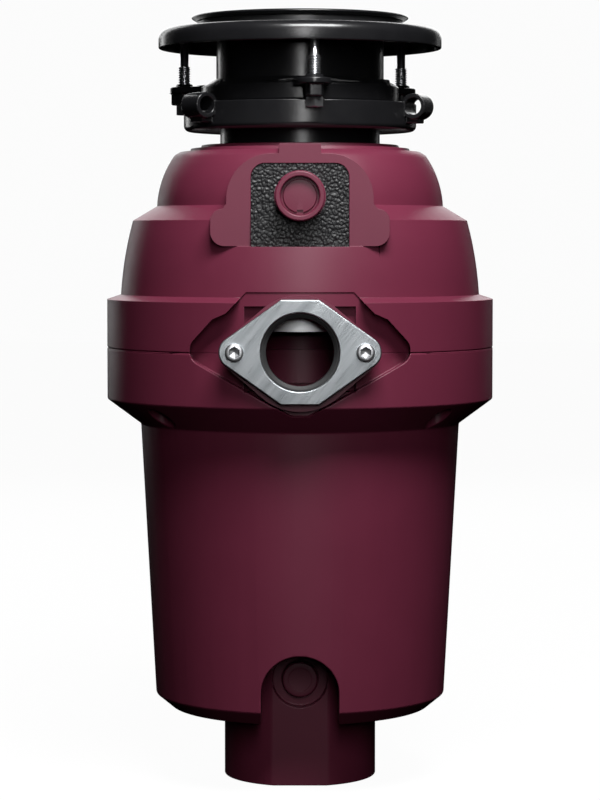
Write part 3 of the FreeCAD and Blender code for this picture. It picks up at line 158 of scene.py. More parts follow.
sheet_steel = Finish("stacked_sheet_steel", 0.7)
sheet_lines = sheet_steel.add("ShaderNodeTexWave", {"bands_direction": "Z"},
                              {"Vector": sheet_steel.place, "Scale": WAVE_SCALE / SHEET_THICKNESS,
                               "Distortion": 0.0}, "Fac")
oxide = sheet_steel.grain(0.006)
sheet_steel.colour(oxide, (0.11, 0.11, 0.12), (0.20, 0.20, 0.21))
sheet_steel.roughness(0.42 + 0.2 * oxide)
sheet_steel.relief(sheet_lines, 0.00008)
cover(sheet_steel, "stator_core", "rotor_core")

# ---------------------------------------------------------------- windings
# Enamelled copper wire is wound through the stator slots and tied into a head at each end.
# The varnish leaves it a glossy reddish brown with each turn standing proud.
WIRE_BANDS = 310.0
copper = Finish("varnished_copper", 0.85)
turns = copper.add("ShaderNodeTexWave", {"bands_direction": "DIAGONAL"},
                   {"Vector": copper.place, "Scale": WIRE_BANDS, "Distortion": 2.5, "Detail": 1.0}, "Fac")
varnish = copper.grain(0.008)
copper.colour(turns, (0.30, 0.09, 0.03), (0.62, 0.24, 0.09))
copper.roughness(0.28 + 0.25 * varnish)
copper.relief(turns, 0.00025)
cover(copper, "stator_windings")

# ---------------------------------------------------------------- rotor cage, end frames
# The rotor's cage and both end frames are die-cast aluminium, left as cast.
# The cast skin is slightly pebbled, with duller patches where the metal chilled first.
cast_alloy = Finish("cast_aluminium", 0.9)
chill = cast_alloy.grain(0.012)
pebble = cast_alloy.grain(0.0011, 4.0)
cast_alloy.colour(chill, (0.46, 0.46, 0.48), (0.60, 0.60, 0.62))
cast_alloy.roughness(0.40 + 0.22 * chill)
cast_alloy.relief(pebble, 0.0002)
cover(cast_alloy, "rotor_cage", "upper_end_frame", "lower_end_frame")

# ---------------------------------------------------------------- motor can, shaft, turntable, grind ring
# These are stainless steel: the can is rolled sheet, the shaft ground, the turntable, lugs and ring
# stamped or cast and tumbled. Fine turning marks run round the axis.
stainless = Finish("turned_stainless", 1.0)
rings = stainless.grain(0.0016, 3.0, stainless.stretched((0.25, 0.25, 3.0)))
handling = stainless.grain(0.02)
stainless.colour(handling, (0.44, 0.45, 0.46), (0.58, 0.59, 0.60))
stainless.roughness(0.22 + 0.22 * rings)
stainless.relief(rings, 0.00006)
cover(stainless, "motor_can", "shaft", "turntable", "lug_pins", "swivel_lug_1", "swivel_lug_2", "grind_ring")

# ---------------------------------------------------------------- bearings
# Both shaft bearings are sintered bronze bushes soaked in oil.
# The pores show as dark specks in a warm brown metal.
bronze = Finish("sintered_bronze", 0.8)
pores = bronze.between(bronze.grain(0.0007, 1.0), 0.0, 1.0, (0.35, 0.5))
bronze.colour(pores, (0.10, 0.06, 0.03), (0.46, 0.29, 0.13))
bronze.roughness(0.55 - 0.15 * pores)
bronze.relief(pores, 0.0001)
cover(bronze, "upper_bearing", "lower_bearing")

# ---------------------------------------------------------------- bolts, screws, nut, springs
# Fasteners, the snap ring and the reset spring are steel with bright zinc plating.
# The plating is faintly cloudy and has a fine drawn grain.
zinc = Finish("bright_zinc", 1.0)
cloud = zinc.grain(0.004)
drawn = zinc.grain(0.0006, 2.0, zinc.stretched((1.0, 1.0, 0.2)))
zinc.colour(cloud, (0.60, 0.61, 0.63), (0.76, 0.77, 0.79))
zinc.roughness(0.26 + 0.14 * cloud)
zinc.relief(drawn, 0.00003)
cover(zinc, "through_bolts", "chamber_bolts", "turntable_nut", "base_screws", "cover_screws", "ground_screw",
      "housing_screws", "reset_spring", "snap_ring")

# ---------------------------------------------------------------- seals, slinger, gasket, cushion
# Black rubber parts seal the shaft and the chamber and hold the sink flange off the neck.
# Moulded rubber is matt with a very fine bloom and a slight orange-peel skin.
rubber = Finish("moulded_rubber")
bloom = rubber.grain(0.009)
skin = rubber.grain(0.0009, 3.0)
rubber.colour(bloom, (0.010, 0.010, 0.011), (0.022, 0.022, 0.023))
rubber.roughness(0.50 + 0.15 * bloom)
rubber.relief(skin, 0.00006)
cover(rubber, "shaft_seal", "slinger", "chamber_gasket", "cushion_mount")

# ---------------------------------------------------------------- insulation
# Two rings of grey needled felt fill the housing round the motor and the chamber to deaden the noise.
# Its fibres make a soft, uneven skin.
felt = Finish("sound_felt")
fibres = felt.grain(0.0012, 5.0)
tufts = felt.grain(0.01, 3.0)
felt.colour(tufts, (0.13, 0.13, 0.14), (0.27, 0.27, 0.28))
felt.roughness(0.93)
felt.relief(fibres + tufts, 0.0006)
cover(felt, "lower_insulation", "upper_insulation")

# ---------------------------------------------------------------- electrical parts
# The terminal block, start capacitor, start relay and overload protector are electrical parts.
# They have moulded phenolic cases in dark grey, with a fine speckle.
phenolic = Finish("phenolic_moulding")
speckle = phenolic.grain(0.0005, 2.0)
phenolic.colour(speckle, (0.020, 0.020, 0.024), (0.065, 0.065, 0.072))
phenolic.roughness(0.38 + 0.2 * speckle)
phenolic.relief(speckle, 0.00004)
cover(phenolic, "terminal_block", "start_capacitor", "start_relay", "overload_protector")

# ---------------------------------------------------------------- base housing and terminal cover
# The foot is a burgundy thermoplastic moulding that carries the motor, the electrics and the reset
# button. Its corners are eased by the mould, and its skin has a fine satin spark texture.
FOOT_EDGE = 0.0006
COVER_EDGE = 0.0005
WELD_REACH = 2e-6
FLAT_TURN = 1.0
CORNER_TURN = 30


def soft_edged(node, edge):
    """The CAD piece's shape as a fresh mesh whose corners are eased by a small round."""
    work = bmesh.new()
    work.from_mesh(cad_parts[node].data)
    bmesh.ops.remove_doubles(work, verts=work.verts, dist=WELD_REACH)
    bmesh.ops.dissolve_limit(work, angle_limit=math.radians(FLAT_TURN), verts=work.verts, edges=work.edges)
    for face in work.faces:
        face.smooth = True
    shape = bpy.data.meshes.new(node + "_shape")
    work.to_mesh(shape)
    work.free()
    item = bpy.data.objects.new(node + "_moulded", shape)
    bpy.context.scene.collection.objects.link(item)
    round_off = item.modifiers.new("eased_corners", "BEVEL")
    round_off.width = edge
    round_off.segments = 3
    round_off.limit_method = "ANGLE"
    round_off.angle_limit = math.radians(CORNER_TURN)
    round_off.use_clamp_overlap = False
    even = item.modifiers.new("even_shading", "WEIGHTED_NORMAL")
    even.keep_sharp = True
    return item


moulding = Finish("burgundy_moulding")
flow = moulding.grain(0.035)
spark = moulding.grain(0.0006, 2.0)
moulding.colour(flow, (0.120, 0.017, 0.038), (0.142, 0.021, 0.046))
moulding.roughness(0.38 + 0.10 * spark)
moulding.feed(moulding.shader.inputs["Specular IOR Level"], 0.36)
moulding.relief(spark, 0.00002)

foot = soft_edged("base_housing", FOOT_EDGE)
foot.data.materials.append(moulding.material)
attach(foot, "housing")
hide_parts("base_housing")
hatch = soft_edged("terminal_cover", COVER_EDGE)
hatch.data.materials.append(moulding.material)
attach(hatch, "housing")
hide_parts("terminal_cover")

# ---------------------------------------------------------------- drain chamber
# The chamber under the turntable is moulded in the same burgundy plastic with its outlet tube.
# It carries the shaft seal in a raised turret that shows through the outlet.
cover(moulding, "drain_chamber")

# ---------------------------------------------------------------- hopper
# The hopper is a gloss black moulding clamped over the chamber. Its neck stands out of the housing
# and ends in a bead for the lock ring.
HOPPER_EDGE = 0.0004
gloss_black = Finish("gloss_black_coat")
film = gloss_black.grain(0.015)
peel = gloss_black.grain(0.0018, 1.5)
gloss_black.colour(film, (0.007, 0.007, 0.008), (0.012, 0.012, 0.013))
gloss_black.roughness(0.20 + 0.10 * film)
gloss_black.relief(peel, 0.000025)
hopper = soft_edged("hopper", HOPPER_EDGE)
hopper.data.materials.append(gloss_black.material)
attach(hopper, "housing")
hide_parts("hopper")

# ---------------------------------------------------------------- lower and upper shells
# The two burgundy shells are injection moulded and screwed together from below at four corners.
# They meet at a fine groove round the widest part. The upper one's corners are crisper.
SHELL_EDGE = 0.0007
CROWN_EDGE = 0.0002
barrel = soft_edged("lower_shell", SHELL_EDGE)
barrel.data.materials.append(moulding.material)
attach(barrel, "housing")
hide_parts("lower_shell")
dome = soft_edged("upper_shell", CROWN_EDGE)
dome.data.materials.append(moulding.material)
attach(dome, "housing")
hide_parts("upper_shell")

# ---------------------------------------------------------------- grained panel
# A black plastic inlay sits in a shallow pocket of the front pad. Its face is moulded with a
# leather grain of rounded pebbles about two millimetres across.
PEBBLE = 0.0019
GRAIN_STEP = 0.0004
GRAIN_DEPTH = 0.0005
SPARE = 0.001


def pebbled(x, z):
    """Height of the leather grain: rounded pebbles with narrow valleys between them."""
    wander = Vector((noise.noise((x * 400, z * 400, 3)), noise.noise((x * 400, z * 400, 9)), 0)) * 0.35
    near, next_near = noise.voronoi(Vector((x / PEBBLE, z / PEBBLE, 0.5)) + wander)[0][:2]
    valley = min(1.0, (next_near - near) * 2.6)
    return valley * (2 - valley)


def cut_with(item, cutter, operation):
    """Applies a boolean of the two shapes and removes the cutter."""
    step = item.modifiers.new("cut", "BOOLEAN")
    step.object = cutter
    step.operation = operation
    step.solver = "EXACT"
    ready = item.evaluated_get(bpy.context.evaluated_depsgraph_get())
    shape = bpy.data.meshes.new_from_object(ready)
    item.modifiers.clear()
    item.data = shape
    bpy.data.objects.remove(cutter)


low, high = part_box("inlet_panel")
across = int((high.x - low.x + 2 * SPARE) / GRAIN_STEP)
upward = int((high.z - low.z + 2 * SPARE) / GRAIN_STEP)
work = bmesh.new()
face_rows = []
back_rows = []
for j in range(upward + 1):
    z = low.z - SPARE + j * GRAIN_STEP
    front_row = []
    back_row = []
    for i in range(across + 1):
        x = low.x - SPARE + i * GRAIN_STEP
        front_row.append(work.verts.new((x, low.y + GRAIN_DEPTH * (1 - pebbled(x, z)), z)))
        if i in (0, across) or j in (0, upward):
            back_row.append(work.verts.new((x, high.y + SPARE, z)))
        else:
            back_row.append(None)
    face_rows.append(front_row)
    back_rows.append(back_row)
for j in range(upward):
    for i in range(across):
        work.faces.new((face_rows[j][i], face_rows[j][i + 1], face_rows[j + 1][i + 1], face_rows[j + 1][i]))
rim_front = (face_rows[0] + [row[-1] for row in face_rows[1:]] + face_rows[-1][-2::-1]
             + [row[0] for row in face_rows[-2:0:-1]])
rim_back = (back_rows[0] + [row[-1] for row in back_rows[1:]] + back_rows[-1][-2::-1]
            + [row[0] for row in back_rows[-2:0:-1]])
for k in range(len(rim_front)):
    n = (k + 1) % len(rim_front)
    work.faces.new((rim_front[k], rim_back[k], rim_back[n], rim_front[n]))
work.faces.new(rim_back)
bmesh.ops.recalc_face_normals(work, faces=work.faces)
for face in work.faces:
    face.smooth = True
panel_shape = bpy.data.meshes.new("grained_panel")
work.to_mesh(panel_shape)
work.free()
panel = bpy.data.objects.new("grained_panel", panel_shape)
bpy.context.scene.collection.objects.link(panel)
outline = bpy.data.objects.new("panel_outline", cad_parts["inlet_panel"].data.copy())
bpy.context.scene.collection.objects.link(outline)
weld = outline.modifiers.new("weld", "WELD")
weld.merge_threshold = WELD_REACH
bpy.context.view_layer.update()
cut_with(panel, outline, "INTERSECT")
grained = Finish("leather_grained_plastic")
wear = grained.grain(0.012)
micro = grained.grain(0.0004, 2.0)
grained.colour(wear, (0.006, 0.006, 0.007), (0.012, 0.012, 0.013))
grained.roughness(0.34 + 0.14 * wear)
grained.relief(micro, 0.00003)
panel.data.materials.clear()
panel.data.materials.append(grained.material)
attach(panel, "housing")
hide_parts("inlet_panel")

# ---------------------------------------------------------------- dishwasher inlet and its knock-out disc
# A burgundy spigot passes through the panel into the hopper. It stays closed by a moulded disc,
# thinned round its edge, that is knocked out when a dishwasher is plumbed in.
LINE_STEPS = 5
STRAIGHT_TURN = 88
SMOOTH_TURN = 35
FRONT_WAY = Matrix.Rotation(math.radians(90), 4, "X")
SPIGOT_EDGE = 0.0008
DISC_RADIUS = 9.45
DISC_RIM = 0.8
DISC_FACE = 1.55
FACE_RADIUS = 8.1
SLOT_HALF_WIDTH = 0.0016
SLOT_LOW = 0.0085
SLOT_HIGH = 0.0068
SLOT_DEPTH = 0.0006


def eased_line(corners):
    """Closed outline of (radius, height, round) corners, each replaced by a short arc."""
    line = []
    for k, (r, z, ease) in enumerate(corners):
        here = Vector((r, z))
        if not ease:
            line.append(here)
            continue
        before = Vector(corners[k - 1][:2]) - here
        after = Vector(corners[(k + 1) % len(corners)][:2]) - here
        half = before.angle(after) / 2
        if half > math.radians(STRAIGHT_TURN):
            line.append(here)
            continue
        reach = min(ease / math.tan(half), before.length * 0.49, after.length * 0.49)
        ease = reach * math.tan(half)
        centre = here + (before.normalized() + after.normalized()).normalized() * ease / math.sin(half)
        start = here + before.normalized() * reach - centre
        end = here + after.normalized() * reach - centre
        for step in range(LINE_STEPS + 1):
            line.append(centre + start.slerp(end, step / LINE_STEPS).normalized() * ease)
    return line


def turned(name, corners, sides=128, place=Matrix()):
    """Ring turned about Z from an outline in millimetres, then set in place."""
    line = [p / 1000 for p in eased_line(corners)]
    work = bmesh.new()
    rows = []
    for k in range(sides):
        turn = 2 * math.pi * k / sides
        rows.append([work.verts.new((p.x * math.cos(turn), p.x * math.sin(turn), p.y)) for p in line])
    for k in range(sides):
        here, there = rows[k], rows[(k + 1) % sides]
        for i in range(len(line)):
            n = (i + 1) % len(line)
            work.faces.new((here[i], there[i], there[n], here[n]))
    bmesh.ops.remove_doubles(work, verts=work.verts, dist=1e-7)
    bmesh.ops.recalc_face_normals(work, faces=work.faces)
    for face in work.faces:
        face.smooth = True
    for edge in work.edges:
        edge.smooth = edge.calc_face_angle(0) < math.radians(SMOOTH_TURN)
    shape = bpy.data.meshes.new(name)
    work.to_mesh(shape)
    work.free()
    shape.transform(place)
    item = bpy.data.objects.new(name, shape)
    bpy.context.scene.collection.objects.link(item)
    return item


def block(name, low, high):
    """Plain block between two corners."""
    work = bmesh.new()
    bmesh.ops.create_cube(work, size=1.0)
    bmesh.ops.scale(work, verts=work.verts, vec=Vector(high) - Vector(low))
    bmesh.ops.translate(work, verts=work.verts, vec=(Vector(low) + Vector(high)) / 2)
    shape = bpy.data.meshes.new(name)
    work.to_mesh(shape)
    work.free()
    item = bpy.data.objects.new(name, shape)
    bpy.context.scene.collection.objects.link(item)
    return item


spigot = soft_edged("dishwasher_inlet", SPIGOT_EDGE)
spigot.data.materials.append(moulding.material)
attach(spigot, "housing")
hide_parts("dishwasher_inlet")
low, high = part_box("inlet_knockout")
disc_centre = (low + high) / 2
disc_place = Matrix.Translation((disc_centre.x, high.y, disc_centre.z)) @ FRONT_WAY
disc = turned("knockout_disc", [
    (0, 0, 0), (DISC_RADIUS, 0, 0), (DISC_RADIUS, DISC_RIM, 0.1), (FACE_RADIUS + 0.4, DISC_RIM, 0.1),
    (FACE_RADIUS, DISC_FACE, 0.3), (0, DISC_FACE, 0)], 96, disc_place)
slot_foot = Vector((disc_centre.x - SLOT_HALF_WIDTH, low.y - SPARE, disc_centre.z - SLOT_LOW))
slot_head = Vector((disc_centre.x + SLOT_HALF_WIDTH, high.y - SLOT_DEPTH, disc_centre.z - SLOT_HIGH))
cut_with(disc, block("prise_slot", slot_foot, slot_head), "DIFFERENCE")
disc.data.materials.clear()
disc.data.materials.append(moulding.material)
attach(disc, "housing")
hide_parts("inlet_knockout")

# ---------------------------------------------------------------- discharge gasket
# A black rubber ring is squeezed between the chamber's outlet flange and the steel plate.
# Its inner lip is rounded and shows inside the plate's bore.
GASKET_BORE = 16.6
GASKET_RADIUS = 24.0
GASKET_THICKNESS = 2.5
LIP_RADIUS = 18.4
LIP_HEIGHT = 1.8
low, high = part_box("discharge_gasket")
outlet = Vector((0, high.y, (low.z + high.z) / 2))
gasket = turned("outlet_gasket", [
    (GASKET_BORE, 0, 0.5), (GASKET_RADIUS, 0, 0.3), (GASKET_RADIUS, GASKET_THICKNESS, 0.3),
    (LIP_RADIUS, GASKET_THICKNESS, 0.5), (GASKET_BORE, LIP_HEIGHT, 0.8)], 128,
    Matrix.Translation(outlet) @ FRONT_WAY)
gasket.data.materials.append(rubber.material)
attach(gasket, "housing")
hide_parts("discharge_gasket")

# ---------------------------------------------------------------- discharge plate
# The plate is thick steel blanked to a diamond, brushed on the slant and tumbled until its
# edges shine. Two screws pull it against the rubber ring.
PLATE_EDGE = 0.0007
BRUSH_SLANT = 52
plate = soft_edged("discharge_plate", PLATE_EDGE)
brushed = Finish("slant_brushed_steel", 1.0)
turned_place = brushed.stretched((1.0, 1.0, 1.0), (0, math.radians(BRUSH_SLANT), 0))
lines = brushed.grain(0.0007, 4.0, brushed.stretched((0.03, 1.0, 1.6), source=turned_place))
streaks = brushed.grain(0.006, 2.0, brushed.stretched((0.05, 1.0, 1.2), source=turned_place))
brushed.colour(brushed.between(streaks, 0.0, 1.0, (0.3, 0.7)), (0.33, 0.355, 0.375), (0.52, 0.55, 0.57))
brushed.roughness(0.28 + 0.24 * lines)
brushed.relief(lines, 0.00014)
plate.data.materials.append(brushed.material)
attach(plate, "housing")
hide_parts("discharge_plate")

# ---------------------------------------------------------------- discharge screws
# Two plated socket screws hold the plate, one at each tip. Their heads have a turned bevel and a
# hexagonal socket.
SIDES = 72
HEAD_RADIUS = 4.45
HEAD_CENTRE = 4.5
SHANK_RADIUS = 2.45
SOCKET_FLATS = 4.8
SOCKET_DEPTH = 2.0


def hexagon_reach(turn, flats):
    """Distance from the middle of a hexagon to its edge in that direction."""
    sixth = math.radians(60)
    return flats / 2 / math.cos((turn + sixth / 2) % sixth - sixth / 2)


def ringed(work, rings, place):
    """Skins rings of (distance for each direction, height for each direction) into a closed shape."""
    rows = []
    for reach, height in rings:
        row = []
        for k in range(SIDES):
            turn = 2 * math.pi * k / SIDES
            point = Vector((reach(turn) * math.cos(turn), reach(turn) * math.sin(turn), height(turn))) / 1000
            row.append(work.verts.new(place @ point))
        rows.append(row)
    for lower, upper in zip(rows, rows[1:]):
        for k in range(SIDES):
            n = (k + 1) % SIDES
            work.faces.new((lower[k], lower[n], upper[n], upper[k]))
    work.faces.new(rows[0][::-1])
    work.faces.new(rows[-1])


def level(value):
    """The same distance or height in every direction."""
    return lambda turn: value


def smoothed(work, name, turn=32):
    """Closes the mesh work into a piece with soft shading across gentle edges only."""
    bmesh.ops.recalc_face_normals(work, faces=work.faces)
    for face in work.faces:
        face.smooth = True
    for edge in work.edges:
        edge.smooth = edge.calc_face_angle(0) < math.radians(turn)
    shape = bpy.data.meshes.new(name)
    work.to_mesh(shape)
    work.free()
    item = bpy.data.objects.new(name, shape)
    bpy.context.scene.collection.objects.link(item)
    return item


low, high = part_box("discharge_screws")
plate_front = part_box("discharge_plate")[0].y
head_height = (plate_front - low.y) * 1000
shank_length = (high.y - plate_front) * 1000
work = bmesh.new()
for side in (-1, 1):
    x = (high.x * 1000 - HEAD_CENTRE) * side / 1000
    place = Matrix.Translation((x, plate_front, (low.z + high.z) / 2)) @ FRONT_WAY
    ringed(work, [
        (level(SHANK_RADIUS), level(-shank_length)), (level(SHANK_RADIUS), level(-0.02)),
        (level(HEAD_RADIUS), level(0.0)), (level(HEAD_RADIUS), level(head_height - 0.7)),
        (level(HEAD_RADIUS - 0.25), level(head_height - 0.2)), (level(HEAD_RADIUS - 0.7), level(head_height)),
        (lambda turn: hexagon_reach(turn, SOCKET_FLATS + 0.5), level(head_height)),
        (lambda turn: hexagon_reach(turn, SOCKET_FLATS), level(head_height - 0.3)),
        (lambda turn: hexagon_reach(turn, SOCKET_FLATS), level(head_height - SOCKET_DEPTH)),
        (level(0.6), level(head_height - SOCKET_DEPTH - 0.5)),
    ], place)
socket_screws = smoothed(work, "plate_screws")
socket_screws.data.materials.append(zinc.material)
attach(socket_screws, "housing")
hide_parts("discharge_screws")

# ---------------------------------------------------------------- reset button
# The overload reset is a round burgundy plastic button in a ring-shaped recess of the foot.
# A shallow dish in its face takes a fingertip, and a spring pushes it back out.
BUTTON_RADIUS = 9.05
BUTTON_COLLAR_RADIUS = 10.6
COLLAR_FOOT = 0.5
COLLAR_HEAD = 1.5
THUMB_RADIUS = 5.9
THUMB_DEPTH = 0.25
low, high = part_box("reset_button")
button_back = high.y
face_out = (button_back - low.y) * 1000
button_place = Matrix.Translation((0, button_back, (low.z + high.z) / 2)) @ FRONT_WAY
button = turned("reset_push_button", [
    (0, 0, 0), (BUTTON_RADIUS + 0.05, 0, 0.2), (BUTTON_RADIUS + 0.05, COLLAR_FOOT, 0),
    (BUTTON_COLLAR_RADIUS, COLLAR_FOOT, 0.2), (BUTTON_COLLAR_RADIUS, COLLAR_HEAD, 0.2),
    (BUTTON_RADIUS, COLLAR_HEAD, 0), (BUTTON_RADIUS, face_out, 0.8), (THUMB_RADIUS + 0.3, face_out, 0.2),
    (THUMB_RADIUS, face_out - THUMB_DEPTH + 0.05, 0.2), (0, face_out - THUMB_DEPTH, 0)], 128, button_place)
button.data.materials.append(moulding.material)
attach(button, "button")
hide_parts("reset_button")

# ---------------------------------------------------------------- lock ring
# The lock ring is a gloss black casting that turns round the neck and draws the disposal up to the
# sink mount. Three open tubes on its rim take a wrench.
LOCK_EDGE = 0.0006
lock_ring = soft_edged("lock_ring", LOCK_EDGE)
lock_ring.data.materials.append(gloss_black.material)
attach(lock_ring, "lock_ring")
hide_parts("lock_ring")

# ---------------------------------------------------------------- upper mounting ring
# A gloss black pressing sits round the sink flange on its snap ring. Three eared lugs on it are
# tapped for the mounting screws.
EAR_EDGE = 0.0008
mounting_ring = soft_edged("upper_mounting_ring", EAR_EDGE)
mounting_ring.data.materials.append(gloss_black.material)
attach(mounting_ring, "housing")
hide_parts("upper_mounting_ring")

# ---------------------------------------------------------------- mounting screws
# Three plated steel screws with hexagon heads push the support ring up against the sink.
# Each has a rolled thread along its shank and a smooth dog point.
HEX_FLATS = 8.4
HEX_BEVEL = 0.15
BEVEL_SLOPE = 0.58
THREAD_RADIUS = 3.15
THREAD_DEPTH = 0.55
THREAD_PITCH = 1.25
THREAD_STEPS = 8
ROOT_RADIUS = THREAD_RADIUS - THREAD_DEPTH
HEAD_HEIGHT = 5.1
THREAD_LENGTH = 20.5
DOG_RADIUS = 2.25
DOG_BEVEL = 0.5


def chamfer_drop(turn):
    """How far the turned bevel of a hexagon head falls towards its corners."""
    return (hexagon_reach(turn, HEX_FLATS) - HEX_FLATS / 2 + HEX_BEVEL) * BEVEL_SLOPE


def thread_reach(height):
    """Rolled thread: a rounded ridge that climbs one pitch in each turn."""
    def reach(turn):
        phase = (height / THREAD_PITCH - turn / (2 * math.pi)) % 1.0
        ridge = 1 - abs(2 * phase - 1)
        return ROOT_RADIUS + THREAD_DEPTH * min(1.0, 1.35 * ridge * ridge * (3 - 2 * ridge))
    return reach


for word, node in (("one", "mounting_screw_1"), ("two", "mounting_screw_2"), ("three", "mounting_screw_3")):
    low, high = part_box(node)
    total = (high.z - low.z) * 1000
    place = Matrix.Translation(((low.x + high.x) / 2, (low.y + high.y) / 2, low.z))
    rings = [
        (level(HEX_FLATS / 2 - HEX_BEVEL), level(0.0)),
        (lambda turn: hexagon_reach(turn, HEX_FLATS), chamfer_drop),
        (lambda turn: hexagon_reach(turn, HEX_FLATS), lambda turn: HEAD_HEIGHT - chamfer_drop(turn)),
        (level(HEX_FLATS / 2 - HEX_BEVEL), level(HEAD_HEIGHT)),
        (level(ROOT_RADIUS), level(HEAD_HEIGHT + 0.05))]
    steps = int(THREAD_LENGTH / THREAD_PITCH * THREAD_STEPS)
    for step in range(1, steps):
        height = HEAD_HEIGHT + THREAD_LENGTH * step / steps
        rings.append((thread_reach(height), level(height)))
    rings += [
        (level(ROOT_RADIUS - 0.1), level(HEAD_HEIGHT + THREAD_LENGTH)),
        (level(DOG_RADIUS), level(HEAD_HEIGHT + THREAD_LENGTH + 0.4)),
        (level(DOG_RADIUS), level(total - DOG_BEVEL)), (level(DOG_RADIUS - DOG_BEVEL), level(total))]
    work = bmesh.new()
    ringed(work, rings, place)
    screw = smoothed(work, "mount_screw_" + word, 50)
    screw.data.materials.append(zinc.material)
    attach(screw, "screw_" + word)
    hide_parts(node)

# ---------------------------------------------------------------- support ring
# The support ring is a gloss black pressed steel dish, open downward, that clamps the gasket
# against the underside of the sink. Its rim is drawn with a generous round.
DISH_BORE = 44.2
DISH_WALL = 2.0
DISH_ROUND = 6.0
low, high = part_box("support_ring")
dish_top = high.z * 1000
dish_rim = high.x * 1000
dish_foot = low.z * 1000
dish = turned("support_dish", [
    (DISH_BORE, dish_top, 0.5), (DISH_BORE, dish_top - DISH_WALL, 0.5),
    (dish_rim - DISH_WALL, dish_top - DISH_WALL, DISH_ROUND - DISH_WALL),
    (dish_rim - DISH_WALL, dish_foot, 0.5), (dish_rim, dish_foot, 0.8),
    (dish_rim, dish_top, DISH_ROUND)], 192)
dish.data.materials.append(gloss_black.material)
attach(dish, "housing")
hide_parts("support_ring")

# ---------------------------------------------------------------- sink gasket
# A flat rubber ring with a smooth moulded skin lies on the support ring and seals against the
# underside of the sink.
WASHER_BORE = 44.1
WASHER_RADIUS = 53.6
low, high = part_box("sink_gasket")
washer_foot = low.z * 1000
washer_top = high.z * 1000
washer = turned("sink_washer", [
    (WASHER_BORE, washer_foot, 0.6), (WASHER_RADIUS, washer_foot, 0.8), (WASHER_RADIUS, washer_top, 0.8),
    (WASHER_BORE, washer_top, 0.6)], 160)
skinned = Finish("smooth_skinned_rubber")
sheen = skinned.grain(0.012)
pores = skinned.grain(0.0008, 3.0)
skinned.colour(sheen, (0.008, 0.008, 0.009), (0.018, 0.018, 0.019))
skinned.roughness(0.27 + 0.12 * sheen)
skinned.relief(pores, 0.00003)
washer.data.materials.append(skinned.material)
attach(washer, "housing")
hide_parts("sink_gasket")

# ---------------------------------------------------------------- sink flange
# The flange is a deep-drawn steel collar that drops through the sink hole, coated gloss black.
# Its lip is rolled over, and a groove near its foot holds the snap ring.
COLLAR_RADIUS = 43.7
COLLAR_BORE = 41.2
COLLAR_FOOT_BORE = 39.4
GROOVE_RADIUS = 42.5
ROLL_FOOT_RADIUS = 54.2
ROLL_RADIUS = 56.8
low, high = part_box("sink_flange")
foot_z = low.z * 1000
lip_z = high.z * 1000
lip_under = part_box("sink_gasket")[1].z * 1000
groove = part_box("snap_ring")
groove_foot = groove[0].z * 1000
groove_head = groove[1].z * 1000
ledge_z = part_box("splash_guard")[0].z * 1000 - 0.2
collar = turned("sink_collar", [
    (COLLAR_FOOT_BORE, foot_z, 0.4), (COLLAR_RADIUS, foot_z, 0.5), (COLLAR_RADIUS, groove_foot, 0),
    (GROOVE_RADIUS, groove_foot, 0), (GROOVE_RADIUS, groove_head, 0), (COLLAR_RADIUS, groove_head, 0),
    (COLLAR_RADIUS, lip_under, 0.3), (ROLL_FOOT_RADIUS, lip_under, 0.6), (ROLL_RADIUS, lip_z - 0.9, 0.6),
    (ROLL_RADIUS - 1.0, lip_z, 0.7), (50.0, lip_z - 0.2, 2.0), (46.0, lip_z - 0.9, 2.0),
    (COLLAR_BORE, lip_z - 7.0, 4.0), (COLLAR_BORE, ledge_z, 0.2), (COLLAR_FOOT_BORE, ledge_z, 0.4)], 192)
collar.data.materials.append(gloss_black.material)
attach(collar, "housing")
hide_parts("sink_flange")

# ---------------------------------------------------------------- splash guard
# The guard is one piece of soft black rubber that drops into the flange. Eight flaps, parted by
# narrow slits, sag towards the middle and let waste through.
FLAPS = 8
FLAP_STEPS = 14
FLAP_COLUMNS = 12
WALL_COLUMNS = 24
WALL_TOP = 0.0178
WALL_THICKNESS = 0.0016
HINGE_RADIUS = 0.0345
HINGE_LAP = 0.0004
MOUTH_RADIUS = 0.0125
SHEET = 0.0015
SLIT = 0.0005
SAG = 0.0055
CURL = 0.0012
low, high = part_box("splash_guard")
guard_foot = low.z
outer_wall = high.x
inner_wall = outer_wall - WALL_THICKNESS
work = bmesh.new()
wall_line = [Vector(corner) for corner in (
    (HINGE_RADIUS, 0), (outer_wall - 0.0008, 0), (outer_wall - 0.0002, 0.0003), (outer_wall, 0.001),
    (outer_wall, WALL_TOP - 0.0006), (outer_wall - 0.0004, WALL_TOP), (inner_wall + 0.0004, WALL_TOP),
    (inner_wall, WALL_TOP - 0.0006), (inner_wall, 0.0032), (inner_wall - 0.0005, 0.002),
    (inner_wall - 0.0017, SHEET), (HINGE_RADIUS, SHEET))]
columns = FLAPS * WALL_COLUMNS
rows = []
for k in range(columns):
    turn = 2 * math.pi * k / columns
    rows.append([work.verts.new((p.x * math.cos(turn), p.x * math.sin(turn), guard_foot + p.y))
                 for p in wall_line])
for k in range(columns):
    here, there = rows[k], rows[(k + 1) % columns]
    for i in range(len(wall_line)):
        n = (i + 1) % len(wall_line)
        work.faces.new((here[i], there[i], there[n], here[n]))
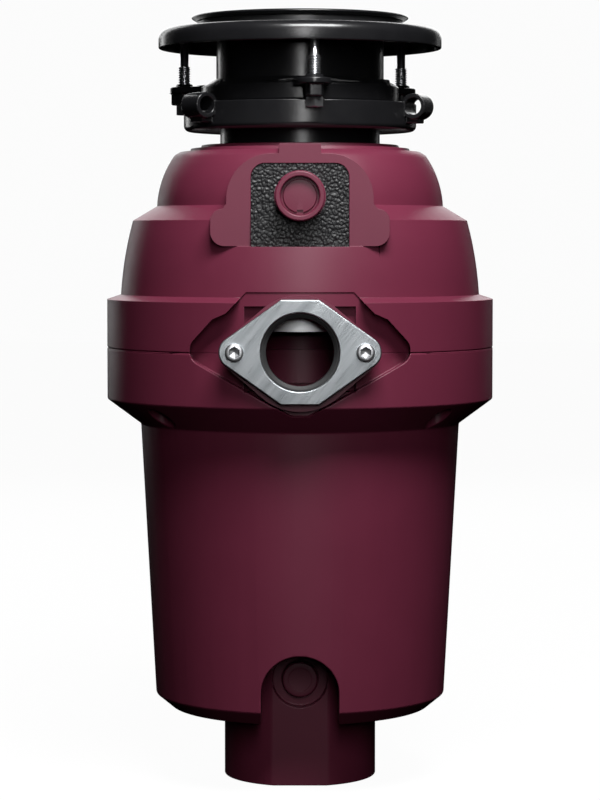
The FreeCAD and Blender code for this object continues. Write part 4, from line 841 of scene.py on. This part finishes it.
for flap in range(FLAPS):
    middle = 2 * math.pi * (flap + 0.5) / FLAPS - math.pi / 2
    grid = []
    for step in range(FLAP_STEPS + 1):
        share = step / FLAP_STEPS
        reach = HINGE_RADIUS + HINGE_LAP - (HINGE_RADIUS + HINGE_LAP - MOUTH_RADIUS) * share
        half_turn = math.pi / FLAPS - SLIT / reach
        row = []
        for column in range(FLAP_COLUMNS + 1):
            aside = 2 * column / FLAP_COLUMNS - 1
            turn = middle + aside * half_turn
            drop = SAG * share ** 1.7 + CURL * share * (1 - aside ** 2)
            spot = Vector((reach * math.cos(turn), reach * math.sin(turn), guard_foot - drop))
            row.append((work.verts.new(spot), work.verts.new(spot + Vector((0, 0, SHEET)))))
        grid.append(row)
    for step in range(FLAP_STEPS):
        for column in range(FLAP_COLUMNS):
            for layer in (0, 1):
                work.faces.new((grid[step][column][layer], grid[step][column + 1][layer],
                                grid[step + 1][column + 1][layer], grid[step + 1][column][layer]))
    rim = ([row[0] for row in grid] + grid[-1][1:] + [row[-1] for row in grid[-2::-1]] + grid[0][-2:0:-1])
    for k in range(len(rim)):
        n = (k + 1) % len(rim)
        work.faces.new((rim[k][0], rim[n][0], rim[n][1], rim[k][1]))
guard = smoothed(work, "rubber_splash_guard", 40)
guard.data.materials.append(rubber.material)
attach(guard, "splash_guard")
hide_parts("splash_guard")

# ---------------------------------------------------------------- floor
# A plain pale floor under the object, seamless with the pale studio behind it.
PALE = 0.97
FLOOR_REACH = 6.0
FLOOR_DROP = 0.0002
FLOOR_GLOW = 0.965
floor_shape = bpy.data.meshes.new("studio_floor")
work = bmesh.new()
bmesh.ops.create_grid(work, x_segments=24, y_segments=24, size=FLOOR_REACH)
work.to_mesh(floor_shape)
work.free()
floor = bpy.data.objects.new("studio_floor", floor_shape)
floor.location.z = cad_box[0].z - FLOOR_DROP
bpy.context.scene.collection.objects.link(floor)
floor.visible_diffuse = False
floor.visible_glossy = False
paper = Finish("pale_paper")
paper.colour(paper.grain(0.05), (0.040, 0.040, 0.040), (0.044, 0.044, 0.044))
paper.roughness(0.9)
paper.feed(paper.shader.inputs["Emission Color"], (1, 1, 1, 1))
paper.feed(paper.shader.inputs["Emission Strength"], FLOOR_GLOW)
paper.feed(paper.shader.inputs["Specular IOR Level"], 0.0)
floor.data.materials.append(paper.material)

# ---------------------------------------------------------------- studio light
# One soft box hangs over the front and a taller one stands behind the camera. A strip behind each
# side draws a pale line down the object's edges, and one more box lights the back.
world = bpy.data.worlds.new("pale_studio")
bpy.context.scene.world = world
world.use_nodes = True
world.node_tree.nodes["Background"].inputs["Color"].default_value = (PALE, PALE, PALE, 1)
world.node_tree.nodes["Background"].inputs["Strength"].default_value = 1.0
world.cycles_visibility.diffuse = False
world.cycles_visibility.glossy = False


def soft_box(name, spot, aim, size, power):
    """Rectangular lamp at a spot in metres that faces the aim."""
    lamp = bpy.data.lights.new(name, "AREA")
    lamp.shape = "RECTANGLE"
    lamp.size, lamp.size_y = size
    lamp.energy = power
    item = bpy.data.objects.new(name, lamp)
    item.location = spot
    item.rotation_euler = (Vector(aim) - Vector(spot)).to_track_quat("-Z", "Y").to_euler()
    bpy.context.scene.collection.objects.link(item)


soft_box("top_front_box", (0.12, -0.48, 0.90), (0, 0, 0.32), (0.42, 0.26), 11.0)
soft_box("front_tall_box", (0.10, -1.70, 0.74), (0, 0, 0.24), (0.30, 0.84), 8.2)
soft_box("left_strip", (-0.62, 0.92, 0.62), (0, 0, 0.30), (0.13, 1.0), 1.5)
soft_box("right_strip", (0.60, 1.00, 0.62), (0, 0, 0.30), (0.07, 1.0), 0.25)
soft_box("back_box", (0.0, 1.5, 0.9), (0, 0, 0.2), (1.2, 0.8), 8.0)

# ---------------------------------------------------------------- camera
# The camera stands higher than the drain outlet and looks slightly down at the front.
# Its lens is long, so the upright sides stay nearly parallel.
CAMERA_DISTANCE = 1.439
CAMERA_HEIGHT = 0.283
CAMERA_DROP = 3.4
SENSOR = 36.0
LENS = 123.3
lens = bpy.data.cameras.new("studio_camera")
lens.sensor_width = SENSOR
lens.lens = LENS
camera = bpy.data.objects.new("studio_camera", lens)
camera.location = (0, -CAMERA_DISTANCE, cad_box[0].z + CAMERA_HEIGHT)
camera.rotation_euler = (math.radians(90 - CAMERA_DROP), 0, 0)
bpy.context.scene.collection.objects.link(camera)
bpy.context.scene.camera = camera
bpy.context.scene.view_settings.view_transform = "Standard"
